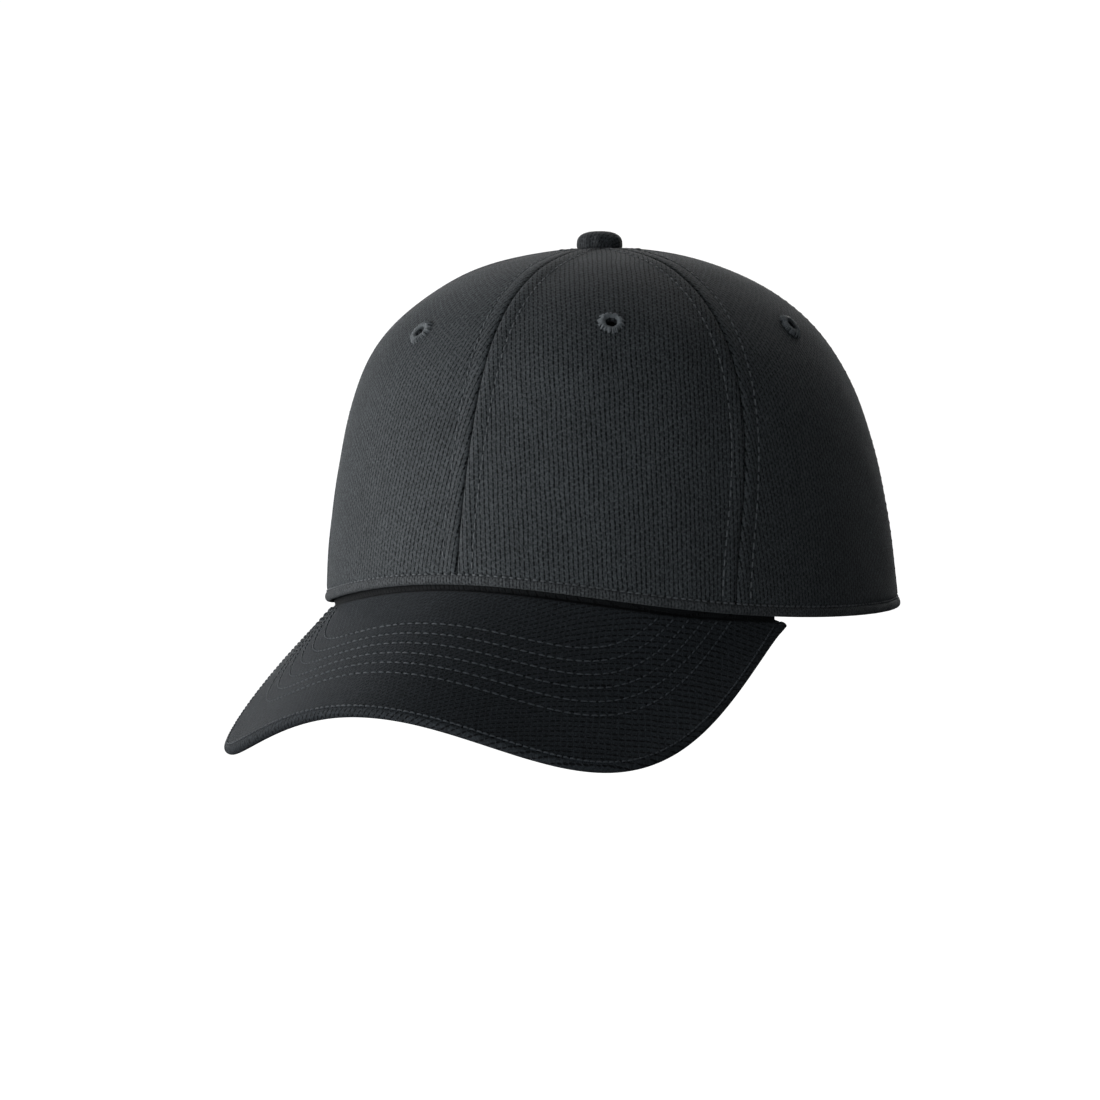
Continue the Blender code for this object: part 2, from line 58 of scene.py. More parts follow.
UP = np.array([0.0, 0.0, 1.0])

# ---- form of the crown ---------------------------------------------------------------
RIM_HALF_WIDTH = 85.5 * MM
RIM_FRONT = 101.8 * MM
RIM_BACK = 103.9 * MM
CROWN_HEIGHT = 113.4 * MM
APEX_FORWARD = 9.9 * MM
FRONT_LIFT = 13.2 * MM
FRONT_LIFT_SPREAD = 48.9
ROUNDNESS = (2.07, 2.24, 2.33)
LEAN = (0.10, -0.05, 0.145)
BELLY = 0.061
SHOULDER = -0.048
PULL = 0.030
PULL_ANGLE = -62.6
PULL_HEIGHT = 0.665
PULL_SPREAD = 0.40
PULL_REACH = 0.10
RIDGE = 0.014
RIDGE_LIFT = 10.0 * MM
RIDGE_SPREAD = 0.30
RIDGE_ROUND = 0.12
FRONT_SEAM = 61.6
FRONT_SEAM_DRIFT = 4.9
FRONT_SEAM_TUCK = 5.9
FRONT_SEAM_TUCK_REACH = 0.25
REAR_SEAM = 120.0
PANEL_BOTTOM = 0.0195           # deeper under the hem than the CAD panels, at 0.0235
PANEL_TOP = 0.966               # 0.965 in the CAD
FABRIC = 1.1 * MM
STIFFENER_DEPTH = 1.4 * MM
TAPE_DEPTH = 2.3 * MM
BAND_DEPTH = 3.3 * MM
EYELETS = {"front_left": (34.2, 0.554), "front_right": (-29.3, 0.526),
           "side_left": (89.6, 0.546), "side_right": (-92.1, 0.545),
           "back_left": (150.0, 0.600), "back_right": (-150.0, 0.600)}
PANEL_MIDDLE = {"front": 32.2, "side": 92.1, "back": 150.0}
HEM_DEPTH = 0.55 * MM
HEM_HEIGHT = 0.0112
HEM_STITCH_RUN = 3.75 * MM
HEM_STITCH_PITCH = 2.35 * MM
HEM_STITCH_LENGTH = 1.5 * MM
BAND_BOTTOM = 0.010
BAND_TOP = 0.190
BAND_STITCH_DROP = 4 * MM       # the sweatband's stitches run this far under its top
STIFFENER_BOTTOM = 0.042
STIFFENER_TOP = 0.80
TAPE_HALF_WIDTH = 4.5 * MM
TAPE_BOTTOM = 0.045
TAPE_TOP = 0.895
EYELET_HOLE = 1.9 * MM
STIFFENER_HOLE = 2.6 * MM
ARCH_HALF_ANGLE = 26.0
ARCH_TOP = 0.27
ARCH_CLEAR_ANGLE = 0.75         # 1.25 in the CAD: these panels reach further into
ARCH_CLEAR_HEIGHT = 0.0070      # the arch binding; 0.0115 in the CAD
ARCH_FOOT = 0.004
HEM_END_ANGLE = ARCH_HALF_ANGLE + 1.6
LABEL_ANGLE = 100.0
LABEL_TOP = 0.186
LABEL_WIDTH = 30.0 * MM
LABEL_HEIGHT = 21.0 * MM
LABEL_THICKNESS = 0.5 * MM
LABEL_DEPTH = 6.3 * MM

# ---- form of the brim ----------------------------------------------------------------
BRIM_END_ANGLE = 65.8
BRIM_START_DEPTH = 2.1 * MM
BRIM_START_DROP = 0.45 * MM
BRIM_HALF_WIDTH = 79.5 * MM
BRIM_LENGTH = 118.2 * MM
BRIM_SIDE_POWER = 1.033
BRIM_FRONT_POWER = 0.682
BRIM_FLARE = 0.074
BRIM_TIP_DROP = -19.5 * MM
BRIM_ARCH = 48.2 * MM
BRIM_ARCH_WIDTH = 83.2 * MM
BRIM_END_DROP = 3.0 * MM
BRIM_END_POWER = 0.362
BRIM_SPAN = 0.990
BRIM_INNER_SPAN = 0.955         # 0.952 in the CAD
BRIM_EDGE_RADIUS = 1.75 * MM    # 2.0 mm in the CAD
# how far out from the hem the brim's top gets the painted shade of the crevice under the hem
BRIM_PAINTED_SHADE_REACH = 1.35 * MM
BRIM_EDGE_INSET = 2.2 * MM
BRIM_UNDER_INSET = 3.3 * MM
BOARD_SPAN = 0.93               # smaller than the CAD board, which spans 0.952
BOARD_START = 0.12              # and starts at the crown, so that less of it shows
BRIM_GRAIN = math.radians(38.0)   # the brim's cloth is laid aslant
BRIM_ROWS = tuple((45.6 - 5.4 * k) * MM for k in range(6))   # stitch rows, in from the edge

# ---- sewing --------------------------------------------------------------------------
SEAM_STITCH = 5.0 * MM          # topstitch rows stand this far from each seam
STITCH_PITCH = 2.9 * MM
STITCH_LENGTH = 1.95 * MM
THREAD = 0.24 * MM              # half the thread's thickness
STITCH_SIDES = 6
STITCH_STEPS = np.array([-0.5, -0.36, 0.0, 0.36, 0.5])      # places along one stitch
STITCH_RISE = np.array([-1.1, 0.35, 0.75, 0.35, -1.1]) * THREAD
STITCH_GIRTH = np.array([0.6, 0.95, 1.08, 0.95, 0.6]) * THREAD
BRIM_STITCH_PITCH = 2.7 * MM
BRIM_STITCH_LENGTH = 2.1 * MM
RNG = np.random.default_rng(7)


# ---- surfaces ------------------------------------------------------------------------
def three_way(angle, values):
    """Blend a front, a side and a back value smoothly round the crown."""
    c = np.cos(angle)
    front, side, back = values
    return side + (np.where(c > 0, front, back) - side) * c * c


def rim_height(angle):
    turn = np.degrees(np.abs((angle + np.pi) % (2 * np.pi) - np.pi))
    return FRONT_LIFT * np.exp(-(turn / FRONT_LIFT_SPREAD) ** 2)


def crown_surface(angle, height):
    """Point on the outside of the crown."""
    power = three_way(angle, ROUNDNESS)
    a = np.clip(height, 0.0, 1.0) * np.pi / 2
    c, s = np.cos(a), np.sin(a)
    scale = (c ** power + s ** power) ** (1 / power)
    up = s / scale
    shape = 1 - three_way(angle, LEAN) * up + BELLY * np.sin(2 * a) + SHOULDER * np.sin(4 * a)
    turn = (angle - math.radians(PULL_ANGLE) + np.pi) % (2 * np.pi) - np.pi
    shape = shape - PULL * np.exp(-(turn / PULL_SPREAD) ** 2
                                  - ((height - PULL_HEIGHT) / PULL_REACH) ** 2)
    centre = (angle + np.pi) % (2 * np.pi) - np.pi
    ridge = s ** 4 * np.exp(-np.sqrt((centre / RIDGE_SPREAD) ** 2 + RIDGE_ROUND ** 2))
    out = c / scale * (shape + RIDGE * ridge)
    depth = np.where(np.cos(angle) > 0, RIM_FRONT, RIM_BACK)
    rim = rim_height(angle)
    x = RIM_HALF_WIDTH * np.sin(angle) * out
    y = -depth * np.cos(angle) * out - APEX_FORWARD * up
    z = rim + (CROWN_HEIGHT - rim) * up + RIDGE_LIFT * ridge * c ** 2
    return np.stack([x, y, z], -1)


def unit(v):
    return v / np.linalg.norm(v, axis=-1, keepdims=True)


def crown_frame(angle, height):
    """Unit vectors on the crown: round, up the meridian, outwards; and metres per radian."""
    step = 1e-4
    low = np.clip(height - step, 0.0, 1.0)
    high = np.clip(height + step, 0.0, 1.0)
    round_way = crown_surface(angle + step, height) - crown_surface(angle - step, height)
    up_way = unit(crown_surface(angle, high) - crown_surface(angle, low))
    radius = np.linalg.norm(round_way, axis=-1) / (2 * step)
    return unit(round_way), up_way, unit(np.cross(round_way, up_way)), radius


def crown_point(angle, height, depth=0.0):
    angle, height, depth = np.broadcast_arrays(np.asarray(angle, float),
                                               np.asarray(height, float), depth)
    return crown_surface(angle, height) - crown_frame(angle, height)[2] * depth[..., None]


def front_seam(height):
    tuck = FRONT_SEAM_TUCK * np.exp(-(height / FRONT_SEAM_TUCK_REACH) ** 2)
    return np.radians(FRONT_SEAM + FRONT_SEAM_DRIFT * height - tuck)


def centre_seam(height):
    return np.zeros_like(height)


def rear_seam(height):
    return np.full_like(height, math.radians(REAR_SEAM))


def back_seam(height):
    return np.full_like(height, math.pi)


def meridian_length(angle):
    """(heights, distance up the meridian) at one angle."""
    height = np.linspace(0, 1, 400)
    line = crown_surface(np.full_like(height, angle), height)
    return height, np.concatenate([[0], np.cumsum(np.linalg.norm(np.diff(line, axis=0), axis=1))])


def crown_uv(angle, height, middle):
    """Cloth coordinates in metres: round from a panel's middle line, and up from the rim."""
    heights, run = meridian_length(middle)
    radius = crown_frame((angle + middle) / 2, height)[3]
    return np.stack([(angle - middle) * radius, np.interp(height, heights, run)], -1)


# ---- cloth relief on the crown -------------------------------------------------------
def bump(x, centre, width):
    return np.exp(-((x - centre) / width) ** 2)


def seam_relief(d):
    """How far the cloth stands out at a distance d from a seam."""
    roll = -0.62 * MM * np.exp(-(d / (0.32 * MM)) ** 1.3)
    allowance = 0.24 * MM * bump(d, 2.3 * MM, 1.7 * MM)
    stitched = -0.15 * MM * bump(d, SEAM_STITCH, 0.6 * MM)
    puff = 0.35 * MM * (1 - np.exp(-(np.maximum(d - SEAM_STITCH, 0) / (11 * MM)) ** 1.5))
    return roll + allowance + stitched + puff


def ripple(points):
    """Slow, shallow unevenness of sewn cloth."""
    x, y, z = (points[..., k] for k in range(3))
    a = np.sin(61 * x + 37 * z + 1.3) * np.sin(47 * y - 29 * z + 0.4)
    b = np.sin(118 * x - 83 * y + 2.1) * np.sin(97 * z + 59 * x + 0.9)
    c = np.sin(171 * y + 149 * z + 0.7) * np.sin(133 * x - 157 * z)
    return 0.30 * MM * a + 0.14 * MM * b + 0.07 * MM * c


def hem_relief(run):
    """The cloth dips into the stitches just above the hem band."""
    return (-0.28 * MM * bump(run, HEM_STITCH_RUN, 0.5 * MM)
            - 0.7 * MM * bump(run, 2.4 * MM, 0.8 * MM)
            - 0.35 * MM * bump(run, 3.35 * MM, 0.35 * MM))


# ---- mesh helpers --------------------------------------------------------------------
def add_object(name, data):
    obj = bpy.data.objects.new(name, data)
    bpy.context.scene.collection.objects.link(obj)
    return obj


def new_piece(name, verts, faces, material, uv, body=CAP):
    """A smooth-shaded mesh piece that rides on a body; uv is in metres of cloth."""
    mesh = bpy.data.meshes.new(name)
    mesh.from_pydata(verts.tolist(), [], faces)
    layer = mesh.uv_layers.new(name="cloth")
    index = np.empty(len(mesh.loops), np.int32)
    mesh.loops.foreach_get("vertex_index", index)
    layer.data.foreach_set("uv", uv[index].astype(np.float32).ravel())
    mesh.materials.append(material)
    mesh.polygons.foreach_set("use_smooth", np.ones(len(mesh.polygons), bool))
    mesh.update()
    obj = add_object(name, mesh)
    if body:
        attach(obj, body)
    return obj


def shell_mesh(outer, inner, keep=None):
    """Vertices, faces and vertex order of a closed shell between two matching grids."""
    columns, rows = outer.shape[:2]
    count = columns * rows
    if keep is None:
        keep = np.ones((columns - 1, rows - 1), bool)
    index = np.arange(count).reshape(columns, rows)
    corners = [index[:-1, :-1][keep], index[1:, :-1][keep], index[1:, 1:][keep],
               index[:-1, 1:][keep]]
    top = np.stack(corners, 1)
    start = top.ravel()
    stop = np.roll(top, -1, axis=1).ravel()
    border = ~np.isin(start * count + stop, stop * count + start)
    a, b = start[border], stop[border]
    walls = np.stack([b, a, a + count, b + count], 1)
    faces = np.concatenate([top, top[:, ::-1] + count, walls])
    used, faces = np.unique(faces, return_inverse=True)
    verts = np.concatenate([outer.reshape(-1, 3), inner.reshape(-1, 3)])[used]
    return verts, faces.reshape(-1, 4).tolist(), used % count


def shell(name, outer, inner, uv, material, body=CAP, keep=None):
    verts, faces, order = shell_mesh(outer, inner, keep)
    return new_piece(name, verts, faces, material, uv.reshape(-1, 2)[order], body)


def stands_for(node):
    """The piece takes the place of a CAD node, which is hidden."""
    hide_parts(node)


def grid_of(first, second):
    """Two parameters over a grid; each is given as (from, to, count)."""
    return np.meshgrid(np.linspace(*first), np.linspace(*second), indexing="ij")


def run_of(path):
    return np.concatenate([[0], np.cumsum(np.linalg.norm(np.diff(path, axis=0), axis=1))])


def column_runs(grid):
    """Distance along each column of a grid from its start."""
    return np.stack([run_of(grid[:, j]) for j in range(grid.shape[1])], 1)


def along(path, run, where):
    return np.stack([np.interp(where, run, path[:, k]) for k in range(path.shape[1])], -1)


def tube_faces(tubes, steps, sides):
    """Faces of closed tubes whose vertices run round, then along, then tube by tube."""
    faces = []
    for first in range(0, tubes * steps * sides, steps * sides):
        for i in range(steps - 1):
            for j in range(sides):
                a = first + i * sides + j
                b = first + i * sides + (j + 1) % sides
                faces.append((b, a, a + sides, b + sides))
        faces.append(tuple(first + j for j in range(sides)))
        faces.append(tuple(first + (steps - 1) * sides + j for j in reversed(range(sides))))
    return faces


def stitches(name, path, outward, material, body=CAP, pitch=STITCH_PITCH, length=STITCH_LENGTH):
    """A row of thread stitches, each a short loop that dives into the cloth at both ends."""
    run = run_of(path)
    count = int(run[-1] / pitch)
    middle = (np.arange(count) + 0.5) * run[-1] / count + RNG.uniform(-0.06, 0.06, count) * pitch
    reach = length * RNG.uniform(0.92, 1.06, count)
    steps = len(STITCH_STEPS)
    where = middle[:, None] + STITCH_STEPS * reach[:, None]
    centre = along(path, run, where.ravel()).reshape(count, steps, 3)
    normal = unit(along(outward, run, where.ravel()).reshape(count, steps, 3))
    centre = centre + normal * STITCH_RISE[:, None]
    tangent = unit(np.gradient(centre, axis=1))
    side = unit(np.cross(tangent, normal))
    lift = np.cross(side, tangent)
    turn = np.arange(STITCH_SIDES) * 2 * np.pi / STITCH_SIDES
    ring = side[:, :, None] * np.cos(turn)[:, None] + lift[:, :, None] * np.sin(turn)[:, None]
    points = centre[:, :, None] + ring * STITCH_GIRTH[:, None, None]
    uv = np.stack(np.broadcast_arrays(where[:, :, None], turn * THREAD), -1)
    obj = new_piece(name, points.reshape(-1, 3), tube_faces(count, steps, STITCH_SIDES), material,
                    uv.reshape(-1, 2), body)


def rope(name, path, across, up, section, material):
    """A solid strip lofted along a path. section is a closed outline in (across, up)."""
    sides = len(section)
    points = (path[:, None] + across[:, None] * section[None, :, :1]
              + up[:, None] * section[None, :, 1:])
    run = run_of(path)
    girth = run_of(np.vstack([section, section[:1]]))[:-1]
    uv = np.stack(np.broadcast_arrays(run[:, None], girth[None, :]), -1).reshape(-1, 2)
    faces = []
    for i in range(len(path) - 1):
        for j in range(sides):
            a = i * sides + j
            b = i * sides + (j + 1) % sides
            faces.append((a, b, b + sides, a + sides))
    faces.append(tuple(reversed(range(sides))))
    faces.append(tuple((len(path) - 1) * sides + j for j in range(sides)))
    return new_piece(name, points.reshape(-1, 3), faces, material, uv)


# ---- materials -----------------------------------------------------------------------
class Shader:
    """A Principled material and short calls to wire its nodes."""

    def __init__(self, name, roughness, sheen=0.0, metallic=0.0, specular=0.35):
        self.mat = bpy.data.materials.new(name)
        self.mat.use_nodes = True
        self.tree = self.mat.node_tree
        self.out = self.tree.nodes["Principled BSDF"]
        for socket, value in (("Roughness", roughness), ("Metallic", metallic),
                              ("Specular IOR Level", specular), ("Sheen Weight", sheen),
                              ("Sheen Roughness", 0.45), ("Sheen Tint", (0.9, 0.95, 1.0, 1.0))):
            self.out.inputs[socket].default_value = value

    def put(self, value, socket):
        if isinstance(value, bpy.types.NodeSocket):
            self.tree.links.new(value, socket)
        else:
            socket.default_value = value

    def node(self, kind, **sockets):
        """A new node with its named sockets set or linked."""
        node = self.tree.nodes.new("ShaderNode" + kind)
        for name, value in sockets.items():
            self.put(value, node.inputs[name.replace("_", " ")])
        return node

    def math(self, operation, a, b=0.0, c=0.0):
        node = self.node("Math")
        node.operation = operation
        for socket, value in zip(node.inputs, (a, b, c)):
            self.put(value, socket)
        return node.outputs[0]

    def times(self, a, b):
        return self.math("MULTIPLY", a, b)

    def plus(self, a, b):
        return self.math("ADD", a, b)

    def minus(self, a, b):
        return self.math("SUBTRACT", a, b)

    def over(self, a, b):
        return self.math("DIVIDE", a, b)

    def line(self, value, slope, start):
        return self.math("MULTIPLY_ADD", value, slope, start)

    def uv(self):
        cloth = self.node("UVMap")
        cloth.uv_map = "cloth"
        split = self.node("SeparateXYZ", Vector=cloth.outputs[0])
        return split.outputs[0], split.outputs[1]

    def noise(self, scale, detail=2.0, roughness=0.5):
        place = self.node("TexCoord").outputs["Object"]
        return self.node("TexNoise", Scale=scale, Detail=detail, Roughness=roughness,
                         Vector=place).outputs[0]

    def smooth(self, value, low, high):
        node = self.node("MapRange", Value=value, From_Min=low, From_Max=high)
        node.interpolation_type = "SMOOTHSTEP"
        return node.outputs[0]

    def spread(self, value, low, high):
        """Map 0..1 onto low..high."""
        return self.line(value, high - low, low)

    def mix(self, share, dark, light):
        node = self.node("Mix")
        node.data_type = "RGBA"
        self.put(share, node.inputs[0])
        for socket, value in ((node.inputs[6], dark), (node.inputs[7], light)):
            self.put((*value, 1.0) if isinstance(value, tuple) else value, socket)
        return node.outputs[2]

    def scale_colour(self, colour, factor):
        node = self.node("VectorMath")
        node.operation = "SCALE"
        self.put(colour, node.inputs[0])
        self.put(factor, node.inputs["Scale"])
        return node.outputs[0]

    def relief(self, height, distance, strength):
        node = self.node("Bump", Strength=strength, Distance=distance, Height=height)
        self.put(node.outputs[0], self.out.inputs["Normal"])

    def colour(self, value, tone):
        """Base colour: a colour, or a socket of one, made lighter and darker by a tone."""
        if isinstance(value, tuple):
            value = self.mix(0.0, value, value)
        self.put(self.scale_colour(value, tone), self.out.inputs["Base Color"])

    def rough(self, value):
        self.put(value, self.out.inputs["Roughness"])


def mesh_knit(name, yarn, slot, across=1.45 * MM, down=1.8 * MM, sheen=0.07):
    """Wicking mesh knit: columns of small tall openings, staggered from one to the next."""
    s = Shader(name, 0.85, sheen, specular=0.10)
    u, v = s.uv()
    wander = s.noise(90.0, 1.0)
    column = s.line(wander, 0.55, s.over(u, across))
    row = s.line(s.noise(70.0, 1.0), 0.7, s.over(v, down))
    odd = s.times(s.math("FLOORED_MODULO", s.math("FLOOR", column), 2.0), 0.5)
    row = s.plus(row, odd)
    fx = s.minus(s.math("FRACT", column), 0.5)
    fy = s.minus(s.math("FRACT", row), 0.5)
    sway = s.line(s.noise(900.0, 1.0), 0.30, -0.15)
    fx = s.plus(fx, sway)
    tall = s.math("POWER", s.over(fy, 0.43), 2.0)
    reach = s.math("SQRT", s.plus(s.math("POWER", s.over(fx, 0.155), 2.0), tall))
    reach = s.plus(reach, s.line(s.noise(420.0, 1.0), 0.9, -0.45))
    hole = s.minus(1.0, s.smooth(reach, 0.65, 1.25))
    slant = s.times(s.math("ABSOLUTE", fx), 2.5)
    loops = s.math("SINE", s.times(s.plus(s.times(row, 3.0), slant), 2 * math.pi))
    fuzz = s.noise(2600.0, 3.0, roughness=0.7)
    speckle = s.smooth(s.noise(1500.0, 2.0, roughness=0.6), 0.3, 0.7)
    tone = s.spread(s.noise(45.0, 4.0, roughness=0.6), 0.78, 1.22)
    tone = s.times(tone, s.spread(fuzz, 0.5, 1.5))
    tone = s.times(tone, s.spread(speckle, 0.55, 1.45))
    tone = s.times(tone, s.line(loops, 0.20, 0.95))
    s.colour(s.mix(hole, yarn, slot), tone)
    s.rough(s.spread(fuzz, 0.68, 0.92))
    height = s.minus(s.line(loops, 0.10, 1.0), hole)
    s.relief(s.line(fuzz, 0.25, height), 0.32 * MM, 0.9)
    return s.mat


def thread(name, colour, sheen=0.2):
    """Twisted polyester thread."""
    s = Shader(name, 0.5, sheen, specular=0.2)
    u, v = s.uv()
    twist = s.math("SINE", s.times(s.plus(s.times(u, 1.6), v),
                                  2 * math.pi / (0.55 * MM)))
    tone = s.line(twist, 0.18, s.spread(s.noise(160.0, 2.0), 0.65, 1.35))
    s.colour(colour, tone)
    s.rough(s.spread(s.noise(900.0, 2.0), 0.42, 0.68))
    s.relief(twist, 0.05 * MM, 0.8)
    return s.mat


def woven(name, colour, warp=0.55 * MM, weft=0.55 * MM, twill=0.0, roughness=0.85, sheen=0.1,
          depth=0.12 * MM, gaps=0.35):
    """A plain or twill weave from crossing yarns."""
    s = Shader(name, roughness, sheen)
    u, v = s.uv()
    a = s.over(u, warp)
    b = s.line(a, twill, s.over(v, weft))
    wave_a = s.math("ABSOLUTE", s.math("SINE", s.times(a, math.pi)))
    wave_b = s.math("ABSOLUTE", s.math("SINE", s.times(b, math.pi)))
    over = s.math("FLOORED_MODULO", s.plus(s.math("FLOOR", a), s.math("FLOOR", b)), 2.0)
    height = s.plus(s.times(wave_a, over),
                    s.times(wave_b, s.minus(1.0, over)))
    fuzz = s.noise(2200.0, 3.0, roughness=0.7)
    tone = s.times(s.line(height, gaps * 2, 1.0 - gaps),
                  s.spread(fuzz, 0.7, 1.3))
    tone = s.times(tone, s.spread(s.noise(38.0, 3.0), 0.8, 1.2))
    s.colour(colour, tone)
    s.rough(s.spread(fuzz, roughness - 0.12, min(1.0, roughness + 0.1)))
    s.relief(s.line(fuzz, 0.3, height), depth, 0.9)
    return s.mat


def pile(name, colour, scale, depth, roughness=0.9, sheen=0.4):
    """Brushed or looped pile."""
    s = Shader(name, roughness, sheen)
    curls = s.noise(scale, 4.0, roughness=0.75)
    tone = s.times(s.spread(curls, 0.35, 1.65), s.spread(s.noise(50.0, 2.0), 0.8, 1.2))
    s.colour(colour, tone)
    s.rough(s.spread(curls, roughness - 0.15, min(1.0, roughness + 0.1)))
    s.relief(curls, depth, 1.0)
    return s.mat


def metal(name, colour):
    s = Shader(name, 0.35, metallic=1.0, specular=0.5)
    grain = s.noise(700.0, 4.0, roughness=0.8)
    s.colour(colour, s.spread(s.noise(60.0, 3.0), 0.75, 1.1))
    s.rough(s.spread(grain, 0.26, 0.5))
    s.relief(grain, 0.02 * MM, 0.6)
    return s.mat


def board_plastic(name, colour):
    s = Shader(name, 0.55)
    grain = s.noise(1500.0, 3.0, roughness=0.8)
    s.colour(colour, s.spread(s.noise(30.0, 4.0), 0.85, 1.1))
    s.rough(s.spread(grain, 0.45, 0.7))
    s.relief(grain, 0.04 * MM, 0.6)
    return s.mat


KNIT = mesh_knit("crown_knit", (0.0312, 0.0336, 0.0358), (0.0019, 0.0023, 0.0030), sheen=0.03)
BRIM_KNIT = mesh_knit("brim_knit", (0.0148, 0.0166, 0.0190), (0.0012, 0.0015, 0.0022),
                      sheen=0.02)
# A near-black copy of the brim knit: painted shade for the crevice under the hem, not a different
# cloth.
BRIM_PAINTED_SHADE_KNIT = mesh_knit("brim_painted_shade_knit", (0.0022, 0.0025, 0.0030),
                           (0.0008, 0.0009, 0.0012), sheen=0.0)
BUTTON_KNIT = mesh_knit("button_knit", (0.0230, 0.0245, 0.0265), (0.0030, 0.0032, 0.0040),
                        1.2 * MM, 1.4 * MM, 0.03)
EDGE_CLOTH = mesh_knit("edge_knit", (0.0370, 0.0385, 0.0405), (0.0040, 0.0043, 0.0050),
                       1.05 * MM, 1.3 * MM, 0.04)
TOP_THREAD = thread("topstitch_thread", (0.062, 0.065, 0.069), 0.05)
BRIM_THREAD = thread("brim_stitch_thread", (0.027, 0.030, 0.034), 0.02)
EYELET_THREAD = thread("eyelet_satin", (0.080, 0.085, 0.090), 0.08)
BUCKRAM = woven("buckram_weave", (0.030, 0.030, 0.032), 0.9 * MM, 0.9 * MM,
                depth=0.25 * MM, gaps=0.6)
TWILL = woven("twill_tape", (0.011, 0.011, 0.012), 0.45 * MM, 0.45 * MM, twill=0.5)
WEBBING = woven("strap_webbing", (0.024, 0.024, 0.027), 1.2 * MM, 0.9 * MM, roughness=0.8)
SWEAT_CLOTH = woven("sweatband_cloth", (0.020, 0.020, 0.022), 0.35 * MM, 0.35 * MM, twill=1.0)
LOOP_PILE = pile("loop_pile", (0.017, 0.017, 0.018), 750.0, 0.7 * MM)
HOOK_BASE = pile("hook_base", (0.010, 0.010, 0.011), 2200.0, 0.08 * MM, 0.6, 0.05)
LABEL_SATIN = woven("label_satin", (0.62, 0.62, 0.60), 0.16 * MM, 0.5 * MM,
                    roughness=0.5, gaps=0.12)
STEEL = metal("stamped_steel", (0.45, 0.45, 0.47))
BOARD = board_plastic("visor_board", (0.55, 0.55, 0.53))


# ---- crown panels --------------------------------------------------------------------
EDGE_STEPS = np.array([0.06, 0.16, 0.30, 0.48, 0.75, 1.15, 1.7, 2.3, 3.0, 3.7, 4.3, 4.7, 5.0,
                       5.3, 5.7, 6.3, 7.2, 8.4, 9.8, 11.4]) * MM
MIDDLE_COLUMNS = 66


def spread_columns(lines):
    """Re-space each line of points so columns crowd towards both seams.

    lines is (samples, rows, 2) of angle and height. Returns the same data at the new columns and
    each column's distance to its nearer seam.
    """
    points = crown_surface(lines[..., 0], lines[..., 1])
    columns = []
    reach = []
    for j in range(lines.shape[1]):
        run = run_of(points[:, j])
        width = run[-1]
        edge = EDGE_STEPS * min(1.0, width / (2.15 * EDGE_STEPS[-1]))
        middle = np.linspace(edge[-1], width - edge[-1], MIDDLE_COLUMNS + 2)[1:-1]
        where = np.concatenate([edge, middle, width - edge[::-1]])
        columns.append(along(lines[:, j], run, where))
        reach.append(np.minimum(where, width - where))
    return np.stack(columns, 1), np.stack(reach, 1)


def punch_eyelet(outer, inner, centre, radius):
    """Leave a round hole in a shell: returns the faces to keep and moves the hole's rim."""
    middle = (outer[:-1, :-1] + outer[1:, :-1] + outer[1:, 1:] + outer[:-1, 1:]) / 4
    keep = np.linalg.norm(middle - centre, axis=-1) > radius * 1.02
    gone = np.zeros(outer.shape[:2], bool)
    kept = np.zeros(outer.shape[:2], bool)
    for di in (0, 1):
        for dj in (0, 1):
            rows, columns = keep.shape
            gone[di:di + rows, dj:dj + columns] |= ~keep
            kept[di:di + rows, dj:dj + columns] |= keep
    rim = gone & kept
    axis = unit(np.cross(outer[1:, :-1] - outer[:-1, :-1],
                         outer[:-1, 1:] - outer[:-1, :-1])[~keep].mean(0))
    for grid in (outer, inner):
        arm = grid[rim] - centre
        depth = arm @ axis
        arm = arm - depth[:, None] * axis
        grid[rim] = centre + unit(arm) * radius + depth[:, None] * axis
    return keep


def panel_lines(low_seam, high_seam, arch):
    """Angle and height along each row of a panel, before the columns are spaced."""
    samples, rows = 161, 138
    u = np.linspace(0, 1, samples)[:, None]
    climb = np.linspace(0, 1, rows)[None, :]
    if not arch:
        height = PANEL_BOTTOM + (PANEL_TOP - PANEL_BOTTOM) * climb + 0 * u
        low, high = low_seam(height), high_seam(height)
        return np.stack([low + (high - low) * u, height], -1)
    half_arch = ARCH_HALF_ANGLE + ARCH_CLEAR_ANGLE
    arch_top = ARCH_TOP + ARCH_CLEAR_HEIGHT
    split = 0.42
    turn = np.clip((u - split) / (1 - split), 0, 1) * np.pi / 2
    corner = 180.0 - half_arch
    foot_angle = np.where(u < split, REAR_SEAM + (corner - REAR_SEAM) * u / split,
                          180.0 - half_arch * np.cos(turn))
    foot_height = PANEL_BOTTOM + (arch_top - PANEL_BOTTOM) * np.sin(turn)
    head_angle = REAR_SEAM + (180.0 - REAR_SEAM) * u
    angle = np.radians(foot_angle + (head_angle - foot_angle) * climb)
    height = foot_height + (PANEL_TOP - foot_height) * climb
    return np.stack([angle, height], -1)


def build_panel(place, side, low_seam, high_seam):
    sign = 1 if side == "left" else -1
    lines, reach = spread_columns(panel_lines(low_seam, high_seam, place == "back"))
    angle, height = lines[..., 0], lines[..., 1]
    middle = math.radians(PANEL_MIDDLE[place])
    uv = crown_uv(angle, height, middle) * np.array([sign, 1.0])
    angle = sign * angle
    flat = crown_point(angle, height)
    relief = seam_relief(reach) + hem_relief(uv[..., 1]) + ripple(flat)
    relief = relief - 0.1 * MM * bump(height, PANEL_TOP, 0.02)
    outer = crown_point(angle, height, -relief)
    inner = crown_point(angle, height, np.maximum(FABRIC, -relief + 0.25 * MM))
    if sign < 0:
        outer, inner, uv = outer[::-1].copy(), inner[::-1].copy(), uv[::-1]
    degrees, level = EYELETS[f"{place}_{side}"]
    hole = crown_point(math.radians(degrees), level)
    keep = punch_eyelet(outer, inner, hole, EYELET_HOLE)
    name = f"cloth_{place}_{side}"
    obj = shell(name, outer, inner, uv, KNIT, keep=keep)
    stands_for(f"panel_{place}_{side}")


